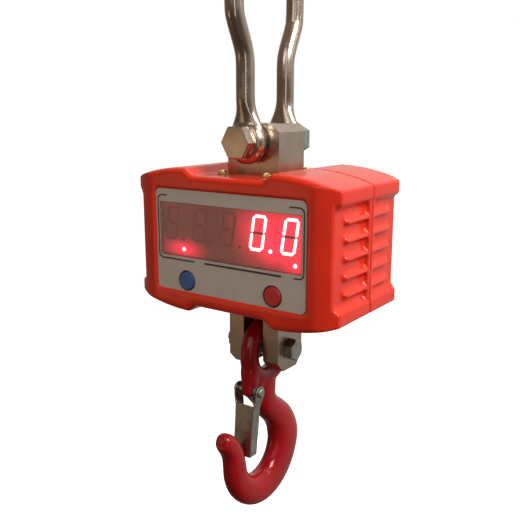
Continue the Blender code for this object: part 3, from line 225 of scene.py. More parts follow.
# ---------------------------------------------------------------- materials
class Nodes:
    """Short ways to wire one material's nodes."""

    def __init__(self, name, **constants):
        self.material = bpy.data.materials.new(name)
        self.material.use_nodes = True
        self.tree = self.material.node_tree
        self.shader = self.tree.nodes["Principled BSDF"]
        self.coords = self.add("ShaderNodeTexCoord").outputs["Object"]
        for key, value in constants.items():
            self.shader.inputs[key.replace("_", " ")].default_value = value

    def add(self, kind, **values):
        node = self.tree.nodes.new(kind)
        for key, value in values.items():
            setattr(node, key, value)
        return node

    def link(self, output, node, name):
        self.tree.links.new(output, node.inputs[name])

    def stretched(self, scale, offset=(0, 0, 0)):
        node = self.add("ShaderNodeMapping")
        node.inputs["Scale"].default_value = scale
        node.inputs["Location"].default_value = offset
        self.link(self.coords, node, "Vector")
        return node.outputs["Vector"]

    def noise(self, scale, detail=3.0, roughness=0.55, vector=None):
        node = self.add("ShaderNodeTexNoise")
        node.inputs["Scale"].default_value = scale
        node.inputs["Detail"].default_value = detail
        node.inputs["Roughness"].default_value = roughness
        self.link(vector or self.coords, node, "Vector")
        return node.outputs["Fac"]

    def span(self, factor, low, high, start=0.3, end=0.7):
        """low where factor is at or under start, high where it is at or over end."""
        node = self.add("ShaderNodeMapRange")
        ends = {"From Min": start, "From Max": end, "To Min": low, "To Max": high}
        for key, value in ends.items():
            node.inputs[key].default_value = value
        self.link(factor, node, "Value")
        return node.outputs["Result"]

    def maths(self, operation, first, second=None):
        node = self.add("ShaderNodeMath", operation=operation)
        for k, value in enumerate((first, second)):
            if value is None:
                continue
            if isinstance(value, (int, float)):
                node.inputs[k].default_value = value
            else:
                self.tree.links.new(value, node.inputs[k])
        return node.outputs[0]

    def mix(self, factor, first, second):
        node = self.add("ShaderNodeMix", data_type="RGBA")
        self.tree.links.new(factor, node.inputs["Factor"])
        for k, value in ((6, first), (7, second)):
            if isinstance(value, tuple):
                node.inputs[k].default_value = (*value, 1.0)
            else:
                self.tree.links.new(value, node.inputs[k])
        return node.outputs[2]

    def colour(self, output):
        self.link(output, self.shader, "Base Color")

    def rough(self, output):
        self.link(output, self.shader, "Roughness")

    def bump(self, heights):
        """Bumps of (height output, strength, depth in metres), laid one on another."""
        normal = None
        for height, strength, depth in heights:
            node = self.add("ShaderNodeBump")
            node.inputs["Strength"].default_value = strength
            node.inputs["Distance"].default_value = depth
            self.link(height, node, "Height")
            if normal is not None:
                self.link(normal, node, "Normal")
            normal = node.outputs["Normal"]
        self.link(normal, self.shader, "Normal")


def enamel(name, deep, bright, roughness, coat, peel=420):
    """Thick sprayed enamel: uneven colour, orange peel, and a painted highlight, paler and broken into specks,
    along raised edges.
    """
    m = Nodes(name, IOR=1.45, Coat_Weight=coat, Coat_Roughness=0.05, Specular_IOR_Level=0.35)
    broad = m.noise(14, 3)
    patches = m.noise(60, 4)
    base = m.mix(m.span(broad, 0.0, 1.0), deep, bright)
    # painted highlight: the colour is made paler on sharp raised edges, where light catches them, and broken up by
    # specks of noise
    edge = m.add("ShaderNodeNewGeometry").outputs["Pointiness"]
    raised = m.span(edge, 0.0, 1.0, 0.510, 0.540)
    flecks = m.span(m.noise(170, 4), 0.0, 0.5, 0.45, 0.75)
    edge_highlight_colour = tuple(min(1.0, part * 1.25 + 0.05) for part in bright)
    m.colour(m.mix(m.maths("MULTIPLY", raised, flecks), base, edge_highlight_colour))
    m.rough(m.span(patches, roughness - 0.05, roughness + 0.09))
    m.bump([
        (m.noise(peel, 2, 0.4), 0.07, 0.0003),
        (m.noise(55, 2, 0.5), 0.07, 0.0008),
    ])
    return m.material


def machined(name, low, high, roughness, stretch):
    """Ground or milled steel: fine streaks along one direction over a soft tarnish."""
    m = Nodes(name, Metallic=1.0, IOR=1.5)
    vector = m.stretched(stretch)
    streaks = m.noise(900, 4, 0.6, vector)
    cloud = m.noise(22, 4, 0.6)
    m.colour(m.mix(m.span(cloud, 0.0, 1.0), low, high))
    fine = m.span(streaks, roughness - 0.07, roughness + 0.10)
    m.rough(m.maths("ADD", fine, m.span(cloud, -0.03, 0.04)))
    m.bump([(streaks, 0.12, 0.0002)])
    return m.material


def forged(name, low, high, roughness):
    """Polished forging: smooth, a little wavy, with a warm uneven tarnish."""
    m = Nodes(name, Metallic=1.0, IOR=1.5)
    cloud = m.noise(26, 4, 0.6)
    m.colour(m.mix(m.span(cloud, 0.0, 1.0), low, high))
    m.rough(m.span(m.noise(70, 3), roughness - 0.04, roughness + 0.09))
    m.bump([(m.noise(60, 2, 0.4), 0.05, 0.0006)])
    return m.material


def plated(name, low, high, roughness):
    """Zinc or chromate plating: mottled tint and a faintly rough surface."""
    m = Nodes(name, Metallic=1.0, IOR=1.5)
    spots = m.noise(160, 4, 0.6)
    grain = m.noise(1800, 2, 0.5)
    m.colour(m.mix(m.span(spots, 0.0, 1.0), low, high))
    m.rough(m.span(spots, roughness - 0.07, roughness + 0.12))
    m.bump([(grain, 0.06, 0.0001), (m.noise(210, 3), 0.06, 0.0003)])
    return m.material


def polymer(name, low, high, roughness, grain=1400, strength=0.06, coat=0.0):
    """Moulded plastic, rubber or printed film with a fine grain."""
    m = Nodes(name, IOR=1.48, Coat_Weight=coat, Coat_Roughness=0.15)
    cloud = m.noise(45, 3)
    m.colour(m.mix(m.span(cloud, 0.0, 1.0), low, high))
    m.rough(m.span(m.noise(220, 3), roughness - 0.05, roughness + 0.06))
    m.bump([(m.noise(grain, 2, 0.5), strength, 0.0002)])
    return m.material


def window_pane():
    """Dark red acrylic in front of the digits."""
    m = Nodes("window_acrylic", IOR=1.49, Transmission_Weight=0.93, Specular_IOR_Level=0.5)
    haze = m.noise(30, 3)
    m.colour(m.mix(m.span(haze, 0.0, 1.0), (0.66, 0.34, 0.33), (0.72, 0.38, 0.37)))
    m.rough(m.span(m.noise(90, 3), 0.02, 0.06))
    return m.material


def falloff(m, centre, reach, squash=1.0):
    """1 at centre, falling to 0 at reach, in the display's plane. squash widens it along X."""
    separate = m.add("ShaderNodeSeparateXYZ")
    m.link(m.coords, separate, "Vector")
    dx = m.maths("DIVIDE", m.maths("SUBTRACT", separate.outputs["X"], centre[0]), squash)
    dz = m.maths("SUBTRACT", separate.outputs["Z"], centre[1])
    squares = [m.maths("MULTIPLY", offset, offset) for offset in (dx, dz)]
    distance = m.maths("SQRT", m.maths("ADD", *squares))
    near = m.maths("SUBTRACT", 1.0, m.maths("DIVIDE", distance, reach))
    near = m.maths("MAXIMUM", near, 0.0)
    return m.maths("MULTIPLY", near, near)


def display_face(lit, lamps):
    """Smoked face of the LED modules, with a painted red glow round its lit segments, its lit point and its lamps.
    """
    m = Nodes("display_face", IOR=1.48)
    m.colour(m.mix(m.span(m.noise(50, 3), 0.0, 1.0), (0.26, 0.145, 0.135), (0.32, 0.185, 0.170)))
    m.rough(m.span(m.noise(260, 3), 0.32, 0.48))
    # painted glow: red emission in soft pools round the lit segments, the lit point and the lamps, standing in for
    # their light spilling over the face
    total = None
    for centre, reach, squash, gain in lit + lamps:
        part = m.maths("MULTIPLY", falloff(m, centre, reach, squash), gain)
        total = part if total is None else m.maths("ADD", total, part)
    m.shader.inputs["Emission Color"].default_value = (1.0, 0.012, 0.10, 1.0)
    m.link(total, m.shader, "Emission Strength")
    m.bump([(m.noise(1500, 2), 0.05, 0.0001)])
    return m.material


def glowing(name, core, strength):
    """A lit diffuser, a little brighter in its middle clouds."""
    m = Nodes(name, IOR=1.48, Roughness=0.4)
    m.colour(m.mix(m.noise(900, 2), (0.9, 0.5, 0.5), (1.0, 0.7, 0.7)))
    m.shader.inputs["Emission Color"].default_value = (*core, 1.0)
    m.link(m.span(m.noise(700, 2), strength * 0.9, strength * 1.1), m.shader, "Emission Strength")
    return m.material


MATERIALS = {
    "casing_enamel": enamel(
        "casing_enamel", (0.64, 0.028, 0.012), (0.74, 0.036, 0.016), 0.14, 0.20,
    ),
    "hook_enamel": enamel(
        "hook_enamel", (0.24, 0.003, 0.006), (0.36, 0.006, 0.011), 0.17, 0.22, 260,
    ),
    "cell_steel": machined(
        "cell_steel", (0.42, 0.355, 0.30), (0.55, 0.48, 0.41), 0.28, (6.0, 6.0, 0.35),
    ),
    "shackle_steel": forged("shackle_steel", (0.40, 0.345, 0.295), (0.56, 0.50, 0.44), 0.20),
    "zinc_steel": plated("zinc_steel", (0.33, 0.36, 0.33), (0.48, 0.51, 0.47), 0.32),
    "yellow_zinc": plated("yellow_zinc", (0.62, 0.44, 0.14), (0.78, 0.66, 0.32), 0.28),
    "label": polymer("label_film", (0.50, 0.455, 0.42), (0.54, 0.495, 0.46), 0.40, 2200, 0.05),
    "window": window_pane(),
    "digit_body": polymer("digit_body", (0.10, 0.06, 0.06), (0.13, 0.08, 0.08), 0.5),
    "lamp": glowing("lamp_red", (1.0, 0.10, 0.08), 6.0),
    "blue_button": polymer(
        "blue_button", (0.020, 0.085, 0.33), (0.028, 0.11, 0.40), 0.34, coat=0.3,
    ),
    "red_button": polymer("red_button", (0.46, 0.012, 0.020), (0.54, 0.020, 0.028), 0.34, coat=0.3),
    "circuit_board": polymer("circuit_board", (0.010, 0.12, 0.045), (0.016, 0.16, 0.060), 0.42),
    "black_plastic": polymer("black_plastic", (0.018, 0.018, 0.019), (0.030, 0.030, 0.031), 0.50),
    "battery_case": polymer("battery_case", (0.24, 0.25, 0.27), (0.30, 0.31, 0.33), 0.50),
    "seal_rubber": polymer(
        "seal_rubber", (0.015, 0.015, 0.015), (0.026, 0.026, 0.026), 0.75, 700, 0.1,
    ),
}
PRINT_GREY = polymer("print_grey", (0.035, 0.032, 0.034), (0.055, 0.050, 0.052), 0.45)

for entry in frame["record"]["subparts"]:
    node = nodes[entry["node"]]
    node.data.materials.clear()
    node.data.materials.append(MATERIALS[entry["material_slot"]])


# ---------------------------------------------------------------- casing
COVER_VOXEL = 0.0011
COVER_ROUNDS = 7
COVER_KEEP = 0.45
for name in ("front_cover", "rear_cover"):
    fuse(nodes[name], COVER_VOXEL, COVER_ROUNDS, COVER_KEEP)

# ---------------------------------------------------------------- shackle
CELL_GAP = 0.0008
HEAD_HEIGHT = 0.010
HEAD_GAP = 0.0003
EYE_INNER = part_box("load_cell")[1].y + CELL_GAP
EYE_OUTER = -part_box("shackle_bolt")[0].y - HEAD_HEIGHT - HEAD_GAP
EYE_MID = (EYE_INNER + EYE_OUTER) / 2
EYE_HALF = (EYE_OUTER - EYE_INNER) / 2
EYE_RADIUS = 0.0190
EYE_HOLE = 0.0083
EYE_RIM = 0.0048
BORE_RADIUS = 0.00825
BAR = 0.008
BOW_HALF = 0.0455
LEG_Y = 0.0305


def make_shackle():
    """The bow and its two rounded eyes, melted into one forging and bored."""
    leg = [
        (-EYE_MID, BOLT_Z + 0.002, EYE_HALF - 0.0004, 0.0165),
        (-EYE_MID, BOLT_Z + 0.010, EYE_HALF - 0.0004, 0.0162),
        (-EYE_MID, BOLT_Z + 0.016, EYE_HALF - 0.0004, 0.0140),
        (-EYE_MID - 0.0004, BOLT_Z + 0.022, EYE_HALF - 0.0002, 0.0109),
        (-EYE_MID - 0.0012, BOLT_Z + 0.028, EYE_HALF, 0.0089),
        (-EYE_MID - 0.0020, BOLT_Z + 0.034, BAR, 0.0081),
        (-LEG_Y, BOLT_Z + 0.040, BAR, BAR),
        (-LEG_Y, BOLT_Z + 0.052, BAR, BAR),
        (-LEG_Y, BOLT_Z + 0.064, BAR, BAR),
    ]
    for k in range(1, 8):
        t = k / 8
        ease = t * t * (3 - 2 * t)
        leg.append((-LEG_Y - (BOW_HALF - LEG_Y) * ease, BOLT_Z + 0.066 + 0.045 * t, BAR, BAR))
    bow = []
    for k in range(25):
        angle = math.pi * (1 - k / 24)
        height = BAR - BOW_HALF + BOW_HALF * math.sin(angle)
        bow.append((BOW_HALF * math.cos(angle), height, BAR, BAR))
    rows = smooth_path(leg + bow + [(-y, z, d, w) for y, z, d, w in reversed(leg)], 3)
    bm = sweep(rows, 48)
    flat = EYE_RADIUS - EYE_RIM
    for side in (-1, 1):
        near, far = side * (EYE_MID - EYE_HALF), side * (EYE_MID + EYE_HALF)
        profile = [(EYE_HOLE, near), (flat, near)]
        for k in range(1, 12):
            angle = math.radians(-90 + 15 * k)
            place = side * (EYE_MID + EYE_HALF * math.sin(angle))
            profile.append((flat + EYE_RIM * math.cos(angle), place))
        profile += [(flat, far), (EYE_HOLE, far)]
        turned(profile, "Y", (0, BOLT_Z), 96, loop=True, bm=bm)
    obj = add("shackle_forged", bm, None, MATERIALS["shackle_steel"])
    fuse(obj, 0.0007, 6)
    apply_modifiers(obj)
    cut(obj, turned([(BORE_RADIUS, -0.06), (BORE_RADIUS, 0.06)], "Y", (0, BOLT_Z), 48))
    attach(obj, "shackle")
    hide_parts("shackle")


make_shackle()
FASTENER_EDGE = 0.0006
for name in ("shackle_nut", "shackle_washer", "hook_bolt", "hook_nut"):
    bevel(nodes[name], FASTENER_EDGE)


def hexagon(across_flats, place, centre, sides=72):
    """A ring of a hexagon with slightly rounded corners, across Y at place."""
    ring = []
    for k in range(sides):
        angle = 2 * math.pi * k / sides
        reach = across_flats / 2 / math.cos(angle % (math.pi / 3) - math.pi / 6)
        reach = min(reach, across_flats / 2 * 1.135)
        across = centre[0] + reach * math.cos(angle)
        up = centre[1] + reach * math.sin(angle)
        ring.append(along("Y", across, up, place))
    return ring


def make_bolt():
    """Hexagon bolt with a chamfered head, a turned end and the hole for its split pin."""
    low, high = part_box("shackle_bolt")
    flats = min(high.x - low.x, high.z - low.z)
    centre = (0, BOLT_Z)
    top, under = low.y, -EYE_OUTER
    rings = [
        hexagon(flats * 0.925, top, centre),
        hexagon(flats * 0.985, top + 0.0007, centre),
        hexagon(flats, top + 0.0015, centre),
        hexagon(flats, under - 0.0006, centre),
        hexagon(flats * 0.98, under - 0.0001, centre),
    ]
    sides = len(rings[0])
    shank, shank_end = 0.0079, 0.0067
    turns = [2 * math.pi * k / sides for k in range(sides)]
    for radius, place in ((shank, under), (shank, high.y - 0.0014), (shank_end, high.y)):
        rings.append([
            along("Y", radius * math.cos(turn), BOLT_Z + radius * math.sin(turn), place)
            for turn in turns
        ])
    obj = add("shackle_bolt_turned", loft(rings), None, MATERIALS["shackle_steel"], 25)
    pin_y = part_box("shackle_split_pin")[0].y + 0.0014
    pin_hole = 0.0022
    ends = [(pin_hole, BOLT_Z - 0.02), (pin_hole, BOLT_Z + 0.02)]
    cut(obj, turned(ends, "Z", (0, pin_y), 24))
    obj.data.shade_smooth()
    obj.data.set_sharp_from_angle(angle=math.radians(25))
    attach(obj, "shackle")
    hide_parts("shackle_bolt")


make_bolt()
bevel(nodes["load_cell"], 0.0005)


# ---------------------------------------------------------------- hook
HOOK_EYE_REACH = 0.026
HOOK_EYE_BAR = 0.0089
HOOK_BOWL_INNER = 0.0245
HOOK_BOWL_OUTER = 0.0562
RIVET_HOLE = 0.0033


def hook_rows():
    """Rows for sweep, from the underside of the eye through the bowl to the tip."""
    thick = 0.01175
    bar = 0.009
    eye_bottom = -0.0407
    bowl_z = -0.1035
    rows = [
        (-0.0015, eye_bottom + 0.0107, 0.0130, bar),
        (-0.0030, eye_bottom - 0.0013, 0.0135, bar * 1.08),
        (-0.0030, eye_bottom - 0.0133, 0.0128, bar * 1.16),
        (0.0040, eye_bottom - 0.0243, 0.0130, thick * 0.93),
        (0.0150, eye_bottom - 0.0343, 0.0143, thick * 0.97),
        (0.0245, eye_bottom - 0.0463, 0.0168, thick),
    ]
    for k in range(11):
        angle = -math.pi * k / 10
        c, s = math.cos(angle), math.sin(angle)
        inner = (-0.014 + HOOK_BOWL_INNER * c, bowl_z + HOOK_BOWL_INNER * s)
        outer = (-0.0058 + HOOK_BOWL_OUTER * c, bowl_z - 0.0005 + HOOK_BOWL_OUTER * s)
        middle = ((inner[0] + outer[0]) / 2, (inner[1] + outer[1]) / 2)
        width = thick * (1 - 0.2 * max(0, (k / 10 - 0.55)) / 0.45)
        rows.append((*middle, math.dist(inner, outer) / 2, width))
    left = -0.05025
    rows += [
        (left - 0.0025, bowl_z + 0.0110, 0.0108, thick * 0.78),
        (left - 0.0070, bowl_z + 0.0195, 0.0102, thick * 0.78),
        (left - 0.0128, bowl_z + 0.0262, 0.0092, thick * 0.74),
        (left - 0.0172, bowl_z + 0.0296, 0.0074, thick * 0.62),
        (left - 0.0190, bowl_z + 0.0303, 0.0036, thick * 0.34),
    ]
    return [(y, PIN_Z + z, deep, wide) for y, z, deep, wide in smooth_path(rows, 6)]


def make_hook():
    """The bowl, the eye, and the latch's lug with the web behind it, melted into one forging."""
    bm = sweep(hook_rows(), 48, 0.88)
    eye_z = PIN_Z - 0.0057
    rings = []
    for k in range(96):
        turn = 2 * math.pi * k / 96
        ring = []
        for j in range(32):
            angle = 2 * math.pi * j / 32
            reach = HOOK_EYE_REACH + HOOK_EYE_BAR * math.cos(angle)
            ring.append((
                HOOK_EYE_BAR * math.sin(angle),
                reach * math.cos(turn),
                eye_z + reach * math.sin(turn),
            ))
        rings.append(ring)
    loft(rings, bm, loop=True)
    radius = 0.0062
    lug_z = LATCH_AT.z - PIN_Z
    outline = [(-0.0200, -0.0300), (LATCH_AT.y - radius, -0.0340)]
    for k in range(9):
        angle = math.radians(180 + 10 * k)
        outline.append((LATCH_AT.y + radius * math.cos(angle), lug_z + radius * math.sin(angle)))
    outline += [(-0.0135, -0.0595), (-0.0010, -0.0600), (0.0020, -0.0400), (-0.0100, -0.0330)]
    prism([(y, PIN_Z + z) for y, z in outline], "X", -0.0055, 0.0055, bm)
    column = smooth_path([
        (-0.0240, -0.0120, 0.0080, 0.0086),
        (-0.0256, -0.0200, 0.0084, 0.0087),
        (-0.0252, -0.0280, 0.0086, 0.0082),
        (-0.0256, -0.0340, 0.0078, 0.0070),
        (LATCH_AT.y, lug_z, 0.0068, 0.0060),
        (LATCH_AT.y + 0.0012, lug_z - 0.0052, 0.0050, 0.0054),
    ], 4)
    sweep([(y, PIN_Z + z, deep, wide) for y, z, deep, wide in column], 32, bm=bm)
    web = smooth_path([
        (-0.0120, -0.0260, 0.0140, 0.0085),
        (-0.0130, -0.0340, 0.0140, 0.0080),
        (-0.0125, -0.0420, 0.0120, 0.0068),
        (-0.0095, -0.0500, 0.0090, 0.0060),
    ], 4)
    sweep([(y, PIN_Z + z, deep, wide) for y, z, deep, wide in web], 32, bm=bm)
    obj = add("hook_forged", bm, None, MATERIALS["hook_enamel"])
    fuse(obj, 0.0008, 16)
    apply_modifiers(obj)
    cut(obj, turned([(RIVET_HOLE, -0.02), (RIVET_HOLE, 0.02)], "X", (LATCH_AT.y, LATCH_AT.z), 32))
    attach(obj, "hook")
    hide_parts("hook")


make_hook()
bevel(nodes["latch_rivet"], 0.0004)


# ---------------------------------------------------------------- latch
def make_latch():
    """Pressed sheet: two cheeks from the rivet down, joined along the front below the ears."""
    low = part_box("latch")[0]
    length = LATCH_AT.z - low.z
    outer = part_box("latch")[1].x
    sheet = 0.0015
    ear = 0.0062
    cheek_top = 0.0180
    plate_top = 0.0120
    bm = bmesh.new()
    for side in (-1, 1):
        rows = []
        for k in range(9):
            angle = math.radians(80 - 10 * k)
            reach = ear * math.cos(angle)
            rows.append((outer, ear * math.sin(angle), -reach, reach))
        rows += [
            (outer, -0.0040, -0.0068, 0.0060),
            (outer - 0.0008, -0.0080, -0.0072, 0.0052),
            (outer - 0.0020, -0.0125, -0.0078, 0.0042),
            (outer - 0.0029, -cheek_top, -0.0083, 0.0034),
        ]
        for k in range(1, 5):
            t = k / 4
            drop = cheek_top + (length - cheek_top) * t
            front = -0.0083 - 0.0044 * t
            rear = front + 0.0117 - 0.0007 * t
            rows.append((outer - 0.0029 - 0.0002 * t, -drop, front, rear))
        rings = []
        for x, z, front, rear in rows:
            near, far = side * (x - sheet), side * x
            front, rear, z = LATCH_AT.y + front, LATCH_AT.y + rear, LATCH_AT.z + z
            rings.append([(near, front, z), (far, front, z), (far, rear, z), (near, rear, z)])
        loft(rings, bm)
    plate = []
    for k in range(7):
        t = k / 6
        drop = plate_top + (length - plate_top) * t
        front = LATCH_AT.y - 0.0077 - 0.0050 * t
        rear = front + sheet
        half = outer - 0.0024 - 0.0008 * t
        z = LATCH_AT.z - drop
        plate.append([(-half, front, z), (half, front, z), (half, rear, z), (-half, rear, z)])
    loft(plate, bm)
    obj = add("latch_pressed", bm, None, MATERIALS["zinc_steel"])
    fuse(obj, 0.00045, 5)
    apply_modifiers(obj)
    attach(obj, "latch")
    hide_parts("latch")


make_latch()


# ---------------------------------------------------------------- label print
def ribbon(points, width, y_front, thickness, bm):
    """A flat printed line of the given width along points (x, z)."""
    rows = []
    for i, (x, z) in enumerate(points):
        before, after = points[max(i - 1, 0)], points[min(i + 1, len(points) - 1)]
        run = Vector((after[0] - before[0], after[1] - before[1])).normalized()
        nx, nz = -run.y * width / 2, run.x * width / 2
        rows.append([
            (x + nx, y_front, z + nz), (x - nx, y_front, z - nz),
            (x - nx, y_front + thickness, z - nz), (x + nx, y_front + thickness, z + nz),
        ])
    return loft(rows, bm)


def corner(cx, cz, radius, start, end, steps=6):
    """Points of an arc from start to end, in degrees."""
    return [
        (cx + radius * math.cos(math.radians(start + (end - start) * k / steps)),
         cz + radius * math.sin(math.radians(start + (end - start) * k / steps)))
        for k in range(steps + 1)
    ]


def make_label_lines():
    """The thin printed frame round the window, open along its top."""
    left, right = -0.0775, 0.0780
    top, bottom = CASE_Z + 0.0400, CASE_Z - 0.0173
    r = 0.0045
    bm = bmesh.new()
    front, thickness, width = LABEL_Y - 0.00012, 0.00010, 0.0013
    upper_left = [(-0.0666, top)] + corner(left + r, top - r, r, 90, 180)
    lower_left = corner(left + r, bottom + r, r, 180, 270) + [(-0.0360, bottom)]
    ribbon(upper_left + lower_left, width, front, thickness, bm)
    ribbon([(-0.0240, bottom), (0.0567, bottom)], width * 1.3, front, thickness, bm)
    upper_right = [(0.0639, top)] + corner(right - r, top - r, r, 90, 0)
    lower_right = corner(right - r, bottom + r, r, 0, -90) + [(0.0687, bottom)]
    ribbon(upper_right + lower_right, width, front, thickness, bm)
    add("label_frame_lines", bm, "housing", PRINT_GREY)


make_label_lines()


# ---------------------------------------------------------------- display
CHAR_HALF_WIDTH = 0.0072
CHAR_HEIGHT = 0.0305
SLANT = math.tan(math.radians(9))
SEGMENT = 0.0024
POINT_ASIDE, POINT_UP = 0.0125, 0.0012
POINT_RADIUS = 0.0017
LAMP_RADIUS = 0.0019
LIFT = 0.0003
SUNK = 0.00005
FIRST_LIT = 3


def segment_outline(x0, z0, x1, z1, half):
    """A pointed bar from one corner of the character to the next."""
    run = Vector((x1 - x0, z1 - z0))
    length = run.length
    run.normalize()
    side = Vector((-run.y, run.x)) * half
    gap = 0.0005
    start = Vector((x0, z0)) + run * gap
    end = Vector((x0, z0)) + run * (length - gap)
    tip = run * half * 0.8
    return [start, start + tip + side, end - tip + side, end, end - tip - side, start + tip - side]


def digit_segments(centre_x, base_z):
    """Outlines of the seven segments, keyed a to g, slanted to the right."""
    w, h = CHAR_HALF_WIDTH, CHAR_HEIGHT
    half = SEGMENT / 2
    left, right = -w + half, w - half
    levels = (half, h / 2, h - half)
    corners = {
        "a": (left, levels[2], right, levels[2]),
        "b": (right, levels[1], right, levels[2]),
        "c": (right, levels[0], right, levels[1]),
        "d": (left, levels[0], right, levels[0]),
        "e": (left, levels[0], left, levels[1]),
        "f": (left, levels[1], left, levels[2]),
        "g": (left, levels[1], right, levels[1]),
    }
    out = {}
    for key, (x0, z0, x1, z1) in corners.items():
        points = segment_outline(x0, z0, x1, z1, half)
        out[key] = [(centre_x + p.x + (p.y - h / 2) * SLANT, base_z + p.y) for p in points]
    return out


def make_display():
    """The smoked face, its lit and dark segments and points, and the two lamps."""
    base_z = CASE_Z + 0.0001
    digits = [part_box(f"led_digit_{k}") for k in range(1, 6)]
    centres = [(low.x + high.x) / 2 for low, high in digits]
    lit_keys = "abcdef"
    mid = base_z + CHAR_HEIGHT / 2
    lamps = [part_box(n) for n in ("stable_lamp", "unit_lamp")]
    spots = [((low.x + high.x) / 2, (low.z + high.z) / 2) for low, high in lamps]
    point = (centres[3] + POINT_ASIDE, base_z + POINT_UP)
    # pools of painted glow on the display face: centre, reach, squash along X, strength
    lit = [((centres[3], mid), 0.040, 1.0, 2.0), ((centres[4], mid), 0.046, 1.0, 2.6)]
    glow = [(spots[0], 0.013, 2.6, 2.6), (spots[1], 0.022, 1.0, 1.6), (point, 0.020, 1.0, 1.4)]
    face = display_face(lit, glow)
    low = Vector((WINDOW_LOW.x + 0.0002, DIGIT_FRONT_Y - 0.0007, WINDOW_LOW.z + 0.0002))
    high = Vector((WINDOW_HIGH.x - 0.0002, DIGIT_FRONT_Y - 0.0003, WINDOW_HIGH.z - 0.0002))
    mask = add("display_face_plate", box(low, high), "housing", face)
    lit_bm, dark_bm = bmesh.new(), bmesh.new()
    front, back = low.y - LIFT, low.y - SUNK
    for number, x in enumerate(centres):
        for key, outline in digit_segments(x, base_z).items():
            lit_here = number >= FIRST_LIT and key in lit_keys
            prism(outline, "Y", front, back, lit_bm if lit_here else dark_bm)
    dot = [(POINT_RADIUS, front), (POINT_RADIUS, back)]
    turned(dot, "Y", point, 20, bm=lit_bm)
    for x in centres[:3] + centres[4:]:
        place = (x + POINT_ASIDE, base_z + POINT_UP)
        if place[0] < WINDOW_HIGH.x - 0.002:
            turned(dot, "Y", place, 20, bm=dark_bm)
    add("display_lit_segments", lit_bm, "housing", glowing("segment_lit", (1.0, 0.62, 0.72), 11.0))
    dark = polymer("segment_dark", (0.13, 0.070, 0.064), (0.17, 0.095, 0.088), 0.45)
    add("display_dark_segments", dark_bm, "housing", dark)
    lamp_bm = bmesh.new()
    for spot in spots:
        turned([(LAMP_RADIUS, front), (LAMP_RADIUS, back)], "Y", spot, 24, bm=lamp_bm)
    add("display_lamps", lamp_bm, "housing", glowing("lamp_lit", (1.0, 0.45, 0.42), 9.0))


make_display()


# ---------------------------------------------------------------- buttons
def make_buttons():
    """A cap and a dark rim for each button. The CAD button is shown too, and hides the dish."""
    for name, material in (("zero_button", "blue_button"), ("power_button", "red_button")):
        low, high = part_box(name)
        centre = ((low.x + high.x) / 2, (low.z + high.z) / 2)
        radius = 0.0082
        dish = 0.00025
        front = low.y
        profile = [(0, front + dish)]
        for k in range(1, 7):
            t = k / 6
            profile.append((radius * 0.86 * t, front + dish * (1 - t * t)))
        profile += [
            (radius * 0.93, front + 0.0001),
            (radius, front + 0.0007),
            (radius, front + 0.0040),
        ]
        cap = add(f"{name}_cap", turned(profile, "Y", centre, 64), name, MATERIALS[material])
        inner, outer = radius + 0.0004, radius + 0.0013
        ring = [
            (inner, LABEL_Y - 0.0001), (inner + 0.0002, LABEL_Y - 0.0004),
            (outer - 0.0002, LABEL_Y - 0.0004), (outer, LABEL_Y - 0.0001),
        ]
        add(f"{name}_rim", turned(ring, "Y", centre, 64, loop=True), "housing", PRINT_GREY)


make_buttons()


# ---------------------------------------------------------------- floor, light, camera
def make_stage():
    """A wide pale floor that only the camera sees, so that it casts no light on the object."""
    m = Nodes("pale_floor", Roughness=0.9, Emission_Strength=0.75)
    m.shader.inputs["Emission Color"].default_value = (1, 1, 1, 1)
    m.colour(m.mix(m.span(m.noise(3, 3), 0.0, 1.0), (0.86, 0.86, 0.86), (0.90, 0.90, 0.90)))
    m.bump([(m.noise(120, 3), 0.03, 0.0005)])
    bm = bmesh.new()
    size, z = 40, -1.05
    corners = ((-size, -size, z), (size, -size, z), (size, size, z), (-size, size, z))
    bm.faces.new([bm.verts.new(p) for p in corners])
    floor = add("studio_floor", bm, None, m.material)
    floor.visible_diffuse = False
    floor.visible_glossy = False


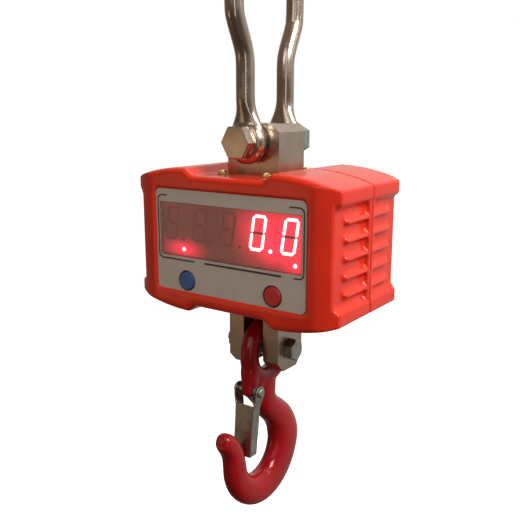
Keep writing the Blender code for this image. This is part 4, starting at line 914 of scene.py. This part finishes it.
def make_world():
    """White to the camera, and to every other ray a warm room that is darker in front."""
    world = bpy.data.worlds.new("studio")
    bpy.context.scene.world = world
    world.use_nodes = True
    tree = world.node_tree
    background = tree.nodes["Background"]
    coords = tree.nodes.new("ShaderNodeTexCoord")
    separate = tree.nodes.new("ShaderNodeSeparateXYZ")
    depth = tree.nodes.new("ShaderNodeMapRange")
    height = tree.nodes.new("ShaderNodeMapRange")
    ramp = tree.nodes.new("ShaderNodeValToRGB")
    room = tree.nodes.new("ShaderNodeVectorMath")
    path = tree.nodes.new("ShaderNodeLightPath")
    mix = tree.nodes.new("ShaderNodeMix")
    tree.links.new(coords.outputs["Generated"], separate.inputs["Vector"])
    depth.inputs["From Min"].default_value = -1
    height.inputs["From Min"].default_value = -1
    height.inputs["To Min"].default_value = 0.15
    height.inputs["To Max"].default_value = 1.15
    tree.links.new(separate.outputs["Y"], depth.inputs["Value"])
    tree.links.new(separate.outputs["Z"], height.inputs["Value"])
    tree.links.new(depth.outputs["Result"], ramp.inputs["Fac"])
    stops = [
        (0.0, (0.20, 0.14, 0.10)),
        (0.15, (0.26, 0.18, 0.13)),
        (0.50, (0.26, 0.20, 0.16)),
        (0.72, (0.70, 0.61, 0.53)),
        (1.0, (0.90, 0.85, 0.80)),
    ]
    elements = ramp.color_ramp.elements
    while len(elements) < len(stops):
        elements.new(0.5)
    for element, (place, colour) in zip(elements, stops):
        element.position = place
        element.color = (*colour, 1.0)
    room.operation = "SCALE"
    tree.links.new(ramp.outputs["Color"], room.inputs[0])
    tree.links.new(height.outputs["Result"], room.inputs["Scale"])
    mix.data_type = "RGBA"
    tree.links.new(path.outputs["Is Camera Ray"], mix.inputs["Factor"])
    tree.links.new(room.outputs["Vector"], mix.inputs[6])
    mix.inputs[7].default_value = (1, 1, 1, 1)
    tree.links.new(mix.outputs[2], background.inputs["Color"])
    background.inputs["Strength"].default_value = 1.0


def area_light(name, place, target, size, power, colour):
    light = bpy.data.lights.new(name, "AREA")
    light.shape = "RECTANGLE"
    light.size, light.size_y = size
    light.energy = power
    light.color = colour
    obj = bpy.data.objects.new(name, light)
    obj.location = place
    obj.rotation_euler = (Vector(target) - Vector(place)).to_track_quat("-Z", "Y").to_euler()
    bpy.context.scene.collection.objects.link(obj)


CAMERA_AT = (0.3561, -0.5096, -0.1306)
CAMERA_YAW = 35.44
CAMERA_DOWN = 12.55
CAMERA_LENS = 47.6


def make_camera():
    camera = bpy.data.cameras.new("camera")
    camera.lens = CAMERA_LENS
    camera.sensor_width = 36
    camera.clip_start = 0.01
    camera.clip_end = 200
    obj = bpy.data.objects.new("camera", camera)
    obj.location = CAMERA_AT
    obj.rotation_euler = (math.radians(90 - CAMERA_DOWN), 0, math.radians(CAMERA_YAW))
    bpy.context.scene.collection.objects.link(obj)
    bpy.context.scene.camera = obj


make_stage()
make_world()
MIDDLE = (0, 0, CASE_Z)
area_light("key", (1.25, -0.15, 0.75), MIDDLE, (0.7, 0.7), 26, (1.0, 0.95, 0.88))
area_light("fill", (0.3, -1.9, 0.8), MIDDLE, (1.2, 1.2), 6.5, (1.0, 0.95, 0.90))
area_light("warm", (-0.87, -1.2, -0.45), (0, 0, BOLT_Z), (0.5, 0.5), 0.55, (1.0, 0.62, 0.36))
area_light("line", (1.5, 0.9, 0.9), MIDDLE, (0.08, 1.6), 3.0, (1.0, 0.97, 0.93))
area_light("strip", (1.0, -1.1, 0.1), (0, 0, BOLT_Z), (0.10, 1.7), 1.8, (1.0, 0.96, 0.92))
area_light("top", (0.2, 0.5, 1.5), MIDDLE, (1.0, 1.0), 8, (1.0, 0.98, 0.95))
make_camera()
bpy.context.scene.view_settings.view_transform = "Standard"
bpy.context.scene.view_settings.look = "None"
